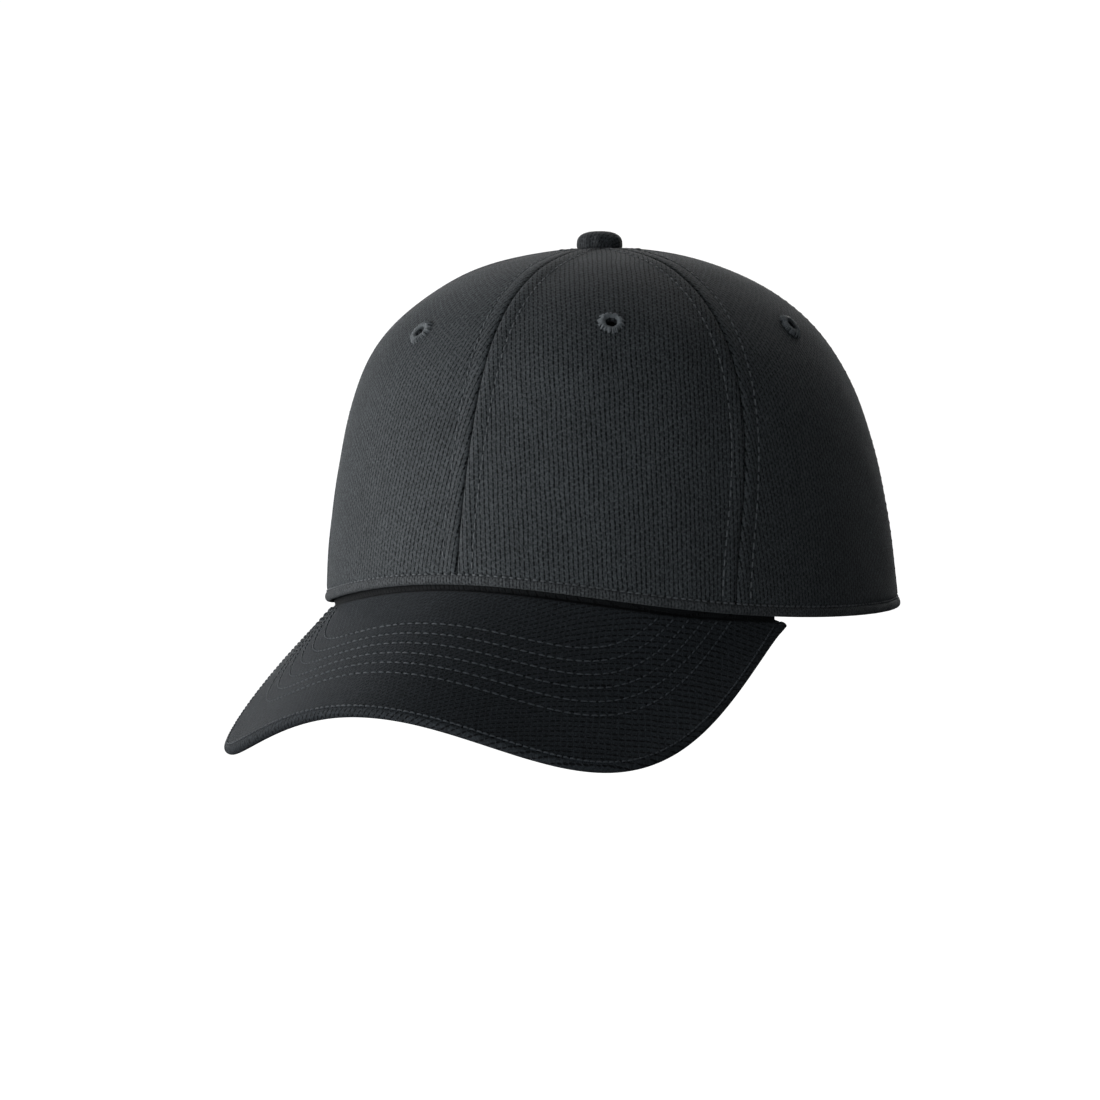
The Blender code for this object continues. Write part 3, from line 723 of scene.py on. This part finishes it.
def build_panels():
    for side in ("left", "right"):
        build_panel("front", side, centre_seam, front_seam)
        build_panel("side", side, front_seam, rear_seam)
        build_panel("back", side, rear_seam, back_seam)


def seam_rows():
    """(name, seam, sign, lowest height) of the six seams."""
    arch = ARCH_TOP + 0.022
    return [("centre_front", centre_seam, 1, 0.030), ("front_left", front_seam, 1, 0.030),
            ("front_right", front_seam, -1, 0.030), ("rear_left", rear_seam, 1, 0.030),
            ("rear_right", rear_seam, -1, 0.030), ("centre_back", back_seam, 1, arch)]


def build_seam_stitches():
    for name, seam, sign, low in seam_rows():
        for hand in (-1, 1):
            height = np.linspace(low, 0.925, 260)
            angle = sign * seam(height)
            radius = crown_frame(angle, height)[3]
            off = np.minimum(SEAM_STITCH, radius * 0.30)
            angle = angle + hand * off / radius
            depth = -seam_relief(off) - ripple(crown_surface(angle, height))
            path = crown_point(angle, height, depth)
            outward = crown_frame(angle, height)[2]
            stitches(f"seam_stitch_{name}_{'ab'[hand > 0]}", path, outward, TOP_THREAD)


# ---- eyelets and button --------------------------------------------------------------
EYELET_LOOPS = 72
EYELET_STEPS = 9
EYELET_SIDES = 5
EYELET_INSIDE = 2.05
EYELET_OUTSIDE = 3.75


def eyelet_mesh():
    """A satin-stitched ring round +Z: radial thread loops over a soft core."""
    t = np.linspace(0, 1, EYELET_STEPS)
    z = (0.15 + 0.95 * np.sin(np.pi * t) ** 0.7 - 0.55 * t) * MM
    verts = []
    for k in range(EYELET_LOOPS):
        turn = 2 * np.pi * (k + RNG.uniform(-0.25, 0.25)) / EYELET_LOOPS
        skew = RNG.uniform(-0.05, 0.05)
        inside = (EYELET_INSIDE + RNG.uniform(-0.28, 0.08)) * MM
        outside = (EYELET_OUTSIDE + RNG.uniform(-0.60, 0.75)) * MM
        r = inside + (outside - inside) * t
        a = turn + skew * t
        centre = np.stack([r * np.cos(a), r * np.sin(a), z], 1)
        tangent = unit(np.gradient(centre, axis=0))
        side = unit(np.cross(tangent, UP))
        lift = np.cross(side, tangent)
        fat = (0.15 + 0.06 * t) * MM * RNG.uniform(0.8, 1.3)
        ring = [side * np.cos(q) + lift * np.sin(q)
                for q in np.arange(EYELET_SIDES) * 2 * np.pi / EYELET_SIDES]
        verts.append(np.stack([centre + p * fat[:, None] for p in ring], 1).reshape(-1, 3))
    return np.concatenate(verts), tube_faces(EYELET_LOOPS, EYELET_STEPS, EYELET_SIDES)


def build_eyelets():
    verts, faces = eyelet_mesh()
    uv = np.stack([np.hypot(verts[:, 0], verts[:, 1]),
                   np.arctan2(verts[:, 1], verts[:, 0]) * 3 * MM], 1)
    for place, (degrees, level) in EYELETS.items():
        turn = np.float64(math.radians(degrees))
        spot = crown_point(turn, level, -0.35 * MM)
        outward = Vector(crown_frame(turn, np.float64(level))[2].tolist())
        rotate = np.array(outward.to_track_quat("Z", "Y").to_matrix())
        placed = verts @ rotate.T + spot
        obj = new_piece(f"eyelet_ring_{place}", placed, faces, EYELET_THREAD, uv)
        stands_for(f"eyelet_{place}")


def build_button():
    """Cloth gathered over the button's dome, with folds at its rim and a tucked edge."""
    seat = np.array([0.0, -APEX_FORWARD, CROWN_HEIGHT + 0.2 * MM])
    profile = np.array([(0.0, 5.05), (1.6, 5.0), (3.4, 4.8), (4.8, 4.4), (5.8, 3.8), (6.5, 3.0),
                        (6.85, 2.1), (6.95, 1.0), (6.95, 0.2), (6.75, -0.35), (6.2, -0.45),
                        (5.9, -0.2)]) * MM
    run = run_of(profile)
    line = along(profile, run, np.linspace(0, run[-1], 42))
    turn = np.linspace(0, 2 * np.pi, 97)[:-1]
    rise = np.clip(line[:, 0] / (6.85 * MM), 0, 1)
    fold = (0.16 * np.cos(11 * turn)[:, None] + 0.10 * np.cos(7 * turn + 1.1)[:, None]) * MM
    crease = -0.22 * MM * bump(np.sin(turn - 0.5)[:, None] * line[None, :, 0], 0.0, 0.5 * MM)
    radius = line[None, :, 0] + fold * rise[None, :] ** 4
    height = line[None, :, 1] + crease * (1 - rise[None, :] ** 3)
    outer = np.stack([radius * np.cos(turn)[:, None], radius * np.sin(turn)[:, None],
                      height + 0 * radius], -1)
    inner = outer * np.array([0.90, 0.90, 1.0]) - np.array([0, 0, 0.45 * MM])
    inner[..., 2] = np.maximum(inner[..., 2], -0.15 * MM)
    inner[:, 0] = outer[:, 0] - np.array([0, 0, 0.6 * MM])
    faces = []
    sides, rows = outer.shape[:2]
    count = sides * rows
    for i in range(sides):
        k = (i + 1) % sides
        for j in range(rows - 1):
            quad = (i * rows + j, i * rows + j + 1, k * rows + j + 1, k * rows + j)
            faces.append(quad)
            faces.append(tuple(q + count for q in reversed(quad)))
        last = rows - 1
        faces.append((i * rows + last, i * rows + last + count,
                      k * rows + last + count, k * rows + last))
    verts = np.concatenate([outer.reshape(-1, 3), inner.reshape(-1, 3)])
    arc = np.linspace(0, run[-1], rows)
    uv = np.stack([arc[None, :] * np.cos(turn)[:, None], arc[None, :] * np.sin(turn)[:, None]], -1)
    uv = np.concatenate([uv.reshape(-1, 2)] * 2)
    obj = new_piece("button_dome", verts + seat, faces, BUTTON_KNIT, uv)
    weld(obj)
    stands_for("button_cover")


def weld(obj):
    """Merge coincident vertices, as at a pole."""
    bm = bmesh.new()
    bm.from_mesh(obj.data)
    bmesh.ops.remove_doubles(bm, verts=bm.verts, dist=1e-6)
    bm.to_mesh(obj.data)
    bm.free()


# ---- hem, arch binding, sweatband ----------------------------------------------------
def folded(half_across, half_up, thickness, gap, sides=22):
    """Outline of a strip folded round an edge: an oval that is open at the top (+up)."""
    open_turn = math.asin(gap / 2 / half_across)
    turn = np.linspace(np.pi / 2 + open_turn, 2.5 * np.pi - open_turn, sides)
    c, s = np.cos(turn), np.sin(turn)
    shape = np.stack([np.sign(c) * np.abs(c) ** 0.83, np.sign(s) * np.abs(s) ** 0.83], 1)
    outer = shape * np.array([half_across, half_up])
    inner = shape * np.array([half_across - thickness, half_up - thickness])
    inner[[0, -1], 1] = outer[[0, -1], 1]
    return np.concatenate([outer, inner[::-1]])


def build_hem():
    half = math.radians(180.0 - HEM_END_ANGLE + 0.4)
    angle = np.linspace(-half, half, 520)
    height = np.full_like(angle, HEM_HEIGHT)
    _, up, outward, _ = crown_frame(angle, height)
    depth = HEM_DEPTH - 0.12 * MM * np.sin(angle * 61) * np.sin(angle * 23 + 1)
    path = crown_point(angle, height, depth)
    section = folded(1.25 * MM, 1.52 * MM, 0.42 * MM, 0.9 * MM)
    obj = rope("hem_roll", path, -outward, up, section, EDGE_CLOTH)
    stands_for("hem_band")
    turn = np.linspace(-half, half, 900)
    run = np.interp(HEM_STITCH_RUN, *reversed(meridian_length(math.pi / 2)))
    level = np.full_like(turn, run)
    skin = crown_surface(turn, level)
    path = crown_point(turn, level, -(ripple(skin) - 0.05 * MM))
    stitches("hem_stitch", path, crown_frame(turn, level)[2], TOP_THREAD,
             pitch=HEM_STITCH_PITCH, length=HEM_STITCH_LENGTH)


def build_arch_binding():
    turn = np.linspace(0, np.pi, 220)
    angle = np.pi - math.radians(ARCH_HALF_ANGLE) * np.cos(turn)
    height = ARCH_FOOT + (ARCH_TOP - ARCH_FOOT) * np.sin(turn)
    path = crown_point(angle, height, HEM_DEPTH)
    outward = crown_frame(angle, height)[2]
    across = unit(np.cross(unit(np.gradient(path, axis=0)), outward))
    section = folded(1.12 * MM, 1.72 * MM, 0.42 * MM, 0.8 * MM)
    obj = rope("arch_roll", path, outward, across, section, EDGE_CLOTH)
    stands_for("arch_binding")


def build_sweatband():
    half = math.radians(180.0 - HEM_END_ANGLE - 0.6)
    angle, height = grid_of((-half, half, 360), (BAND_BOTTOM, BAND_TOP, 34))
    heights, run = meridian_length(math.pi / 2)
    rise = np.interp(height, heights, run)
    top, bottom = rise.max(), rise.min()
    fold = 0.5 * MM * np.exp(-((rise - bottom) / (1.2 * MM)) ** 2)
    fold = fold + 0.45 * MM * np.exp(-((top - rise) / (0.9 * MM)) ** 2)
    groove = 0.18 * MM * bump(rise, top - BAND_STITCH_DROP, 0.7 * MM)
    wave = 0.25 * MM * np.sin(angle * 31) * np.sin(angle * 13 + rise * 140)
    outer = crown_point(angle, height, BAND_DEPTH + 0.05 * MM + fold)
    inner = crown_point(angle, height, BAND_DEPTH + 1.15 * MM - fold - groove + wave * 0.5)
    uv = np.stack([angle * 0.094, rise], -1)
    obj = shell("sweatband_cloth_piece", outer, inner, uv, SWEAT_CLOTH)
    stands_for("sweatband")
    turn = np.linspace(-half, half, 900)
    level = np.full_like(turn, np.interp(top - BAND_STITCH_DROP, run, heights))
    path = crown_point(turn, level, BAND_DEPTH + 1.1 * MM)
    stitches("sweatband_stitch", path, -crown_frame(turn, level)[2], TOP_THREAD)


def build_stiffeners():
    for side, sign in (("left", 1), ("right", -1)):
        u, height = grid_of((0.045, 0.955, 60), (STIFFENER_BOTTOM, STIFFENER_TOP, 90))
        low, high = centre_seam(height), front_seam(height)
        angle = low + (high - low) * u
        uv = crown_uv(angle, height, math.radians(PANEL_MIDDLE["front"]))
        angle = sign * angle
        if sign < 0:
            angle, height, uv = angle[::-1], height[::-1], uv[::-1]
        outer = crown_point(angle, height, STIFFENER_DEPTH)
        inner = crown_point(angle, height, STIFFENER_DEPTH + 0.55 * MM)
        degrees, level = EYELETS[f"front_{side}"]
        hole = crown_point(math.radians(degrees), level)
        keep = punch_eyelet(outer, inner, hole, STIFFENER_HOLE)
        obj = shell(f"buckram_{side}", outer, inner, uv, BUCKRAM, keep=keep)
        stands_for(f"stiffener_{side}")


def build_seam_tapes():
    for name, seam, sign, low in seam_rows():
        start = max(low - 0.028, TAPE_BOTTOM)
        side, height = grid_of((-1, 1, 15), (start, TAPE_TOP, 130))
        middle = sign * seam(height)
        radius = crown_frame(middle, height)[3]
        angle = middle + side * TAPE_HALF_WIDTH / radius
        wave = 0.10 * MM * np.sin(height * 90 + side)
        hump = 0.25 * MM * (1 - side ** 2)
        outer = crown_point(angle, height, TAPE_DEPTH + 0.05 * MM + hump * 0.3)
        inner = crown_point(angle, height, TAPE_DEPTH + 0.45 * MM + hump + wave * 0.5)
        uv = np.stack([side * TAPE_HALF_WIDTH, height * 0.165], -1)
        obj = shell(f"tape_{name}", outer, inner, uv, TWILL)
        stands_for(f"seam_tape_{name}")
        for hand in (-1, 1):
            level = np.linspace(max(low, TAPE_BOTTOM), TAPE_TOP - 0.010, 240)
            turn = sign * seam(level)
            turn = turn + hand * 3.3 * MM / crown_frame(turn, level)[3]
            path = crown_point(turn, level, TAPE_DEPTH + 0.55 * MM)
            stitches(f"tape_stitch_{name}_{'ab'[hand > 0]}", path,
                     -crown_frame(turn, level)[2], TOP_THREAD)


# ---- brim ----------------------------------------------------------------------------
def brim_edge(share):
    turn = np.linspace(-np.pi / 2, np.pi / 2, 4001)
    c = np.clip(np.cos(turn), 0.0, 1.0)
    s = np.sin(turn)
    x = BRIM_HALF_WIDTH * np.sign(s) * np.abs(s) ** BRIM_SIDE_POWER
    x = x * (1 + BRIM_FLARE * np.sin(2 * np.abs(turn)))
    root = RIM_FRONT * math.cos(math.radians(BRIM_END_ANGLE))
    y = -(root + BRIM_LENGTH * c ** BRIM_FRONT_POWER)
    sag = BRIM_TIP_DROP - BRIM_ARCH * (x / BRIM_ARCH_WIDTH) ** 2 * np.sqrt(c)
    mix = c ** BRIM_END_POWER
    z = BRIM_END_DROP * (1 - mix) + sag * mix
    line = np.stack([x, y, z], -1)
    run = run_of(line)
    return along(line, run, (np.asarray(share) + 1) / 2 * run[-1])


def brim_frames(share):
    """Root, edge, upward normal at both, and the outward direction at the edge."""
    angle = share * math.radians(BRIM_END_ANGLE)
    root = crown_point(angle, np.zeros_like(angle), BRIM_START_DEPTH)
    root = root - np.array([0.0, 0.0, BRIM_START_DROP])
    edge = brim_edge(share)
    forward = unit(edge - root)
    along_edge = unit(np.gradient(edge, axis=0))
    up_root = unit(np.cross(forward, unit(np.gradient(root, axis=0))))
    up_edge = unit(np.cross(forward, along_edge))
    return root, edge, up_root, up_edge, unit(np.cross(along_edge, up_edge))


def brim_relief(v, length):
    """Sewn channels along the brim's stitch rows; length is the brim's depth there."""
    inwards = (1 - v) * length
    sink = sum(bump(inwards, row, 0.7 * MM) for row in BRIM_ROWS)
    crevice = -1.1 * MM * np.exp(-(v * length / (1.5 * MM)) ** 2)
    return -0.17 * MM * sink + crevice


def brim_grid(share, v, depth, inset, relief_sign):
    """Points of a brim layer with its sewn channels pressed in."""
    root, edge, up_root, up_edge, out = brim_frames(share)
    start = root - up_root * depth
    stop = edge - out * inset - up_edge * depth
    v = np.atleast_2d(v)
    length = np.linalg.norm(stop - start, axis=1)[:, None]
    up = unit(up_root[:, None] * (1 - v[..., None]) + up_edge[:, None] * v[..., None])
    fade = np.clip((length - 12 * MM) / (20 * MM), 0, 1)
    relief = relief_sign * brim_relief(v, length) * fade
    points = start[:, None] + (stop - start)[:, None] * v[..., None] + up * relief[..., None]
    return points, up, length


def brim_uv(points):
    """Cloth coordinates in metres: across the brim along the arch, and forwards."""
    across = np.arcsinh(points[..., 0] / 0.075) * 0.081
    ahead = np.hypot(points[..., 1], points[..., 2] * 0.9)
    c, s = math.cos(BRIM_GRAIN), math.sin(BRIM_GRAIN)
    return np.stack([across * c + ahead * s, ahead * c - across * s], -1)


def build_brim_top():
    share = np.linspace(-BRIM_SPAN, BRIM_SPAN, 341)
    v = np.linspace(0, 1, 150)
    _, edge, _, up_edge, out = brim_frames(share)
    top, _, length = brim_grid(share, v, 0.0, BRIM_EDGE_INSET, 1)
    ease = np.clip((1 - v) * 67 * MM / (0.5 * MM), 0, 3)
    top = top - up_edge[:, None] * (0.30 * MM * np.exp(-ease ** 2))[None, :, None]
    angle = share * math.radians(BRIM_END_ANGLE)
    flange = np.stack([crown_point(angle, np.full_like(angle, h), BRIM_START_DEPTH)
                       for h in (0.029, 0.020, 0.010, 0.003)], 1)
    middle = edge - out * BRIM_EDGE_INSET - up_edge * BRIM_EDGE_RADIUS
    rolls = []
    for turn in np.linspace(0.12 * np.pi, np.pi, 16):
        swell = BRIM_EDGE_RADIUS * (1 + 0.04 * math.sin(2 * turn))
        rolls.append(middle + swell * (up_edge * math.cos(turn) + out * math.sin(turn)))
    rolls.append(rolls[-1] - out * 0.6 * MM)
    outer = np.concatenate([flange, top, np.stack(rolls, 1)], 1)
    normal = unit(np.cross(np.gradient(outer, axis=0), np.gradient(outer, axis=1)))
    inner = outer + normal * 0.75 * MM
    uv = brim_uv(outer)
    last = flange.shape[1] + top.shape[1] - 1
    fold = np.linalg.norm(np.diff(outer[:, last:], axis=1), axis=-1)
    fold = np.cumsum(fold, axis=1)
    uv[:, last + 1:, 0] = uv[:, last:last + 1, 0] + fold * math.sin(BRIM_GRAIN)
    uv[:, last + 1:, 1] = uv[:, last:last + 1, 1] + fold * math.cos(BRIM_GRAIN)
    obj = shell("brim_cloth_top", outer[::-1], inner[::-1], uv[::-1], BRIM_KNIT)
    # The flange and the brim's root next to the hem take the near-black knit: painted shade for
    # the crevice under the hem.
    tucked = np.zeros(outer.shape[:2], bool)
    tucked[:, :flange.shape[1]] = True
    tucked[:, flange.shape[1]:last + 1] = v * length < BRIM_PAINTED_SHADE_REACH
    tucked = tucked[::-1].ravel()
    obj.data.materials.append(BRIM_PAINTED_SHADE_KNIT)
    for face in obj.data.polygons:
        face.material_index = int(tucked[face.vertices[0] % tucked.size])
    stands_for("brim_top_cover")


def build_brim_under():
    share = np.linspace(-BRIM_INNER_SPAN, BRIM_INNER_SPAN, 301)
    v = np.linspace(0, 1, 120)
    outer = brim_grid(share, v, 2.9 * MM, BRIM_UNDER_INSET, -1)[0]
    lower = brim_grid(share, v, 3.45 * MM, BRIM_UNDER_INSET, -1)[0]
    lower = lower + (outer - lower) * 0.25
    obj = shell("brim_cloth_under", outer[::-1], lower[::-1], brim_uv(outer)[::-1], BRIM_KNIT)
    stands_for("brim_under_cover")


def build_board():
    share = np.linspace(-BOARD_SPAN, BOARD_SPAN, 121)
    v = np.linspace(BOARD_START, 1, 30)
    points, up, _ = brim_grid(share, v, 1.2 * MM, 2.5 * MM, 0)
    lower = points - up * 1.5 * MM
    obj = shell("visor_board_plate", points[::-1], lower[::-1], brim_uv(points)[::-1], BOARD)
    stands_for("brim_board")


def build_brim_stitches():
    span = np.linspace(-0.97, 0.97, 1200)
    _, edge, _, up_edge, out = brim_frames(span)
    for layer, depth, inset, sign in (("top", 0.0, BRIM_EDGE_INSET, 1),
                                      ("under", 3.3 * MM, BRIM_UNDER_INSET, -1)):
        for number, row in enumerate(BRIM_ROWS):
            length = brim_grid(span, np.zeros(1), depth, inset, sign)[2][:, 0]
            v = 1 - row / length
            sewn = v > 0.06
            points, up, _ = brim_grid(span, v[:, None], depth, inset, sign)
            points, up = points[sewn], up[sewn]
            stitches(f"brim_stitch_{layer}_{number}", points[:, 0], up[:, 0] * sign,
                     BRIM_THREAD, pitch=BRIM_STITCH_PITCH, length=BRIM_STITCH_LENGTH)
    rim = edge - out * (BRIM_EDGE_INSET + 0.5 * MM) - up_edge * 0.05 * MM
    stitches("brim_edge_stitch", rim, up_edge, BRIM_THREAD, pitch=2.0 * MM, length=1.7 * MM)


# ---- back closure --------------------------------------------------------------------
STRAP_BOTTOM = 0.012
STRAP_TOP = 0.125
STRAP_ROWS = 24
STRAP_STITCH_LEVELS = (("low", 0.024), ("high", 0.113))
ROOT_SEWN = 29.0                # degrees from the back where the hook strap is sewn down
ROOT_FREE = 21.65               # and where it leaves the crown
ROOT_MIDDLE = 0.0685
ROOT_HALF = 0.0555


def strap_grid(start, end, depth, inset, round_end):
    """Grid of a strap across the back arch, its far end rounded off by round_end."""
    u, w = grid_of((0, 1, 90), (-1, 1, STRAP_ROWS))
    middle = (STRAP_BOTTOM + STRAP_TOP) / 2
    half = (STRAP_TOP - STRAP_BOTTOM) / 2 - inset
    degrees = start + (end - start) * u
    if round_end:
        cut = round_end * (1 - np.sqrt(np.clip(1 - w ** 4, 0, 1)))
        degrees = degrees - np.sign(end - start) * cut * u ** 6
    angle = math.pi - np.radians(degrees)
    return crown_point(angle, middle + half * w, depth), angle, middle + half * w


def strap_piece(name, node, start, end, depth, thickness, material, body,
                inset=0.0, round_end=0.0):
    outer, angle, height = strap_grid(start, end, depth, inset, round_end)
    inner = crown_point(angle, height, depth + thickness)
    w = np.linspace(-1, 1, outer.shape[1])
    edge = 0.28 * thickness * np.abs(w) ** 14
    outward = crown_frame(angle, height)[2]
    outer = outer - outward * edge[None, :, None]
    inner = inner + outward * edge[None, :, None]
    run = column_runs(outer)
    uv = np.stack([run, (w * 0.01)[None, :] + 0 * run], -1)
    obj = shell(name, outer, inner, uv, material, body)
    stands_for(node)


def build_strap_root():
    """The sewn end of the hook strap, passing from inside the arch binding to its outside."""
    u, w = grid_of((0, 1, 40), (-1, 1, STRAP_ROWS))
    degrees = ROOT_SEWN + (ROOT_FREE - ROOT_SEWN) * u
    depth = np.interp(degrees, [21.6, 23.2, 24.6, 26.0, 29.0],
                      np.array([-1.0, -0.5, 1.3, 2.1, 2.4]) * MM)
    angle = math.pi - np.radians(degrees)
    height = ROOT_MIDDLE + ROOT_HALF * w
    outer = crown_point(angle, height, depth)
    inner = crown_point(angle, height, depth + 1.0 * MM)
    run = column_runs(outer)
    uv = np.stack([run - run[-1:], w * 0.01], -1)
    obj = shell("hook_strap_root", outer, inner, uv, WEBBING, body=None)
    crown_point(math.pi - math.radians(22.9), ROOT_MIDDLE, -0.1 * MM).tolist()
    crown_point(math.pi - math.radians(ROOT_FREE), ROOT_MIDDLE, -0.5 * MM).tolist()
    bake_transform(obj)


def strap_stitches(name, start, end, depth, body):
    for row, level in STRAP_STITCH_LEVELS:
        degrees = np.linspace(start, end, 260)
        angle = math.pi - np.radians(degrees)
        height = np.full_like(angle, level)
        path = crown_point(angle, height, depth)
        stitches(f"{name}_{row}", path, crown_frame(angle, height)[2], TOP_THREAD, body)


def build_closure():
    strap_piece("hook_strap_web", "hook_strap", 21.6, -9.0, -1.0 * MM, 1.0 * MM, WEBBING,
                HOOK, round_end=2.2)
    build_strap_root()
    strap_piece("hook_tape_base", "hook_tape", 7.5, -8.0, 0.3 * MM, 0.35 * MM, HOOK_BASE,
                HOOK, inset=0.010)
    strap_piece("loop_tape_pile", "loop_tape", 13.5, -14.5, 1.2 * MM, 0.6 * MM, LOOP_PILE,
                CAP, inset=0.010)
    strap_piece("loop_strap_web", "loop_strap", 15.0, -33.0, 2.1 * MM, 1.0 * MM, WEBBING,
                CAP)
    strap_stitches("hook_strap_stitch", 20.5, -6.0, -1.0 * MM, HOOK)


def build_label():
    """A blank satin label, its top edge sewn under the sweatband."""
    angle = np.float64(math.radians(LABEL_ANGLE))
    spot = crown_point(angle, LABEL_TOP, LABEL_DEPTH)
    outward = crown_frame(angle, np.float64(LABEL_TOP))[2]
    inwards = -unit(outward * np.array([1.0, 1.0, 0.0]))
    across = np.cross(inwards, UP)
    u, v = grid_of((-0.5, 0.5, 40), (0, 1, 30))
    curl = 0.12 * MM * np.sin(5.0 * u + 2.0 * v) * v
    hem = 0.07 * MM * (np.abs(u) > 0.46)
    face = spot + across * (u * LABEL_WIDTH)[..., None] - UP * (v * LABEL_HEIGHT)[..., None]
    near = face + inwards * (LABEL_THICKNESS / 2 * 0.55 + hem + curl)[..., None]
    far = face - inwards * (LABEL_THICKNESS / 2 * 0.55 + hem - curl)[..., None]
    uv = np.stack([u * LABEL_WIDTH, v * LABEL_HEIGHT], -1)
    obj = shell("label_satin_tab", near, far, uv, LABEL_SATIN, LABEL)
    stands_for("care_label")


# ---- CAD pieces kept as they are -----------------------------------------------------
def finish_cad_nodes():
    for node, material in (("button_shell", STEEL), ("button_rivet", STEEL)):
        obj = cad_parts[node]
        obj.data.materials.clear()
        obj.data.materials.append(material)


# ---- stage, lights and camera --------------------------------------------------------
CAMERA_AZIMUTH = math.radians(27.37)
CAMERA_ELEVATION = math.radians(3.70)
CAMERA_ROLL = math.radians(-0.13)
CAMERA_DISTANCE = 1.562
LENS = 162.9
AIM_RIGHT = -20.3 * MM
AIM_UP = 18.9 * MM
LAMP_DISTANCE = 1.5
NEUTRAL = (1.0, 1.0, 1.0)
COOL = (0.93, 1.0, 1.03)
LIGHTS = (                      # name, degrees aside and up, width, power, colour
    ("left", -98, 4, 0.8, 25.5, NEUTRAL), ("left_front", -72, 0, 0.8, 12.0, NEUTRAL),
    ("front_left", -50, -7, 0.8, 11.5, COOL), ("front", -24, -3, 0.8, 12.5, COOL),
    ("left_back", -125, 10, 0.8, 1.5, NEUTRAL), ("top_back", 158, 46, 0.7, 9.5, NEUTRAL),
    ("right", 58, 5, 0.8, 3.2, COOL), ("rear_fill", 180, 12, 1.2, 14.0, NEUTRAL),
    ("rear_right", 140, 8, 0.8, 1.5, NEUTRAL))
FLOOR_HALF = 14.0
FLOOR_LEVEL = -0.60
PAPER = (0.93, 0.93, 0.93)


def view_vectors():
    right = Vector((math.cos(CAMERA_AZIMUTH), math.sin(CAMERA_AZIMUTH), 0.0))
    ahead = Vector((-math.sin(CAMERA_AZIMUTH) * math.cos(CAMERA_ELEVATION),
                    math.cos(CAMERA_AZIMUTH) * math.cos(CAMERA_ELEVATION),
                    -math.sin(CAMERA_ELEVATION)))
    return right, right.cross(ahead), ahead


def build_camera():
    right, up, ahead = view_vectors()
    place = -ahead * CAMERA_DISTANCE
    target = right * AIM_RIGHT + up * AIM_UP
    look = (target - place).normalized()
    side = look.cross(Vector((0, 0, 1))).normalized()
    top = side.cross(look)
    side, top = (side * math.cos(CAMERA_ROLL) + top * math.sin(CAMERA_ROLL),
                 top * math.cos(CAMERA_ROLL) - side * math.sin(CAMERA_ROLL))
    data = bpy.data.cameras.new("camera")
    data.lens = LENS
    data.sensor_width = 36.0
    data.clip_end = 60.0
    camera = add_object("camera", data)
    rows = Matrix((side, top, -look)).transposed().to_4x4()
    camera.matrix_world = Matrix.Translation(place) @ rows
    bpy.context.scene.camera = camera


def area_light(name, place, target, size, power, colour):
    data = bpy.data.lights.new(name, "AREA")
    data.color = colour
    data.shape = "RECTANGLE"
    data.size = data.size_y = size
    data.energy = power
    lamp = add_object(name, data)
    lamp.location = place
    lamp.rotation_euler = (Vector(target) - Vector(place)).to_track_quat("-Z", "Y").to_euler()


def build_lights():
    right, _, ahead = view_vectors()
    level = Vector((ahead.x, ahead.y, 0)).normalized()
    centre = Vector((0.0, -0.02, 0.05))
    for name, degrees, rise, size, power, colour in LIGHTS:
        turn, lift = math.radians(degrees), math.radians(rise)
        aside = (right * math.sin(turn) - level * math.cos(turn)) * math.cos(lift)
        way = aside + Vector((0, 0, math.sin(lift)))
        area_light(name, centre + way * LAMP_DISTANCE, centre, size, power, colour)
    world = bpy.data.worlds.new("studio")
    world.use_nodes = True
    tree = world.node_tree
    shade = tree.nodes["Background"]
    shade.inputs[0].default_value = (0.8, 0.93, 1, 1)
    shade.inputs[1].default_value = 0.03
    white = tree.nodes.new("ShaderNodeBackground")
    white.inputs[0].default_value = (1, 1, 1, 1)
    white.inputs[1].default_value = 1.05
    mix = tree.nodes.new("ShaderNodeMixShader")
    rays = tree.nodes.new("ShaderNodeLightPath")
    tree.links.new(rays.outputs["Is Camera Ray"], mix.inputs[0])
    tree.links.new(shade.outputs[0], mix.inputs[1])
    tree.links.new(white.outputs[0], mix.inputs[2])
    tree.links.new(mix.outputs[0], tree.nodes["World Output"].inputs[0])
    bpy.context.scene.world = world


def build_floor():
    verts = [(x * FLOOR_HALF, y * FLOOR_HALF, FLOOR_LEVEL)
             for x, y in ((-1, -1), (1, -1), (1, 1), (-1, 1))]
    s = Shader("floor_paper", 0.9)
    s.colour(PAPER, s.spread(s.noise(3.0, 2.0), 0.98, 1.02))
    s.out.inputs["Emission Color"].default_value = (1, 1, 1, 1)
    s.out.inputs["Emission Strength"].default_value = 1.1
    mesh = bpy.data.meshes.new("floor")
    mesh.from_pydata(verts, [], [(0, 1, 2, 3)])
    mesh.materials.append(s.mat)
    floor = add_object("floor", mesh)
    floor.visible_diffuse = floor.visible_glossy = floor.visible_shadow = False


for build in (build_panels, build_seam_stitches, build_eyelets, build_button, build_hem,
              build_arch_binding, build_sweatband, build_stiffeners, build_seam_tapes,
              build_brim_top, build_brim_under, build_board, build_brim_stitches,
              build_closure, build_label, finish_cad_nodes, build_camera, build_lights,
              build_floor):
    build()
bpy.context.scene.view_settings.view_transform = "Standard"
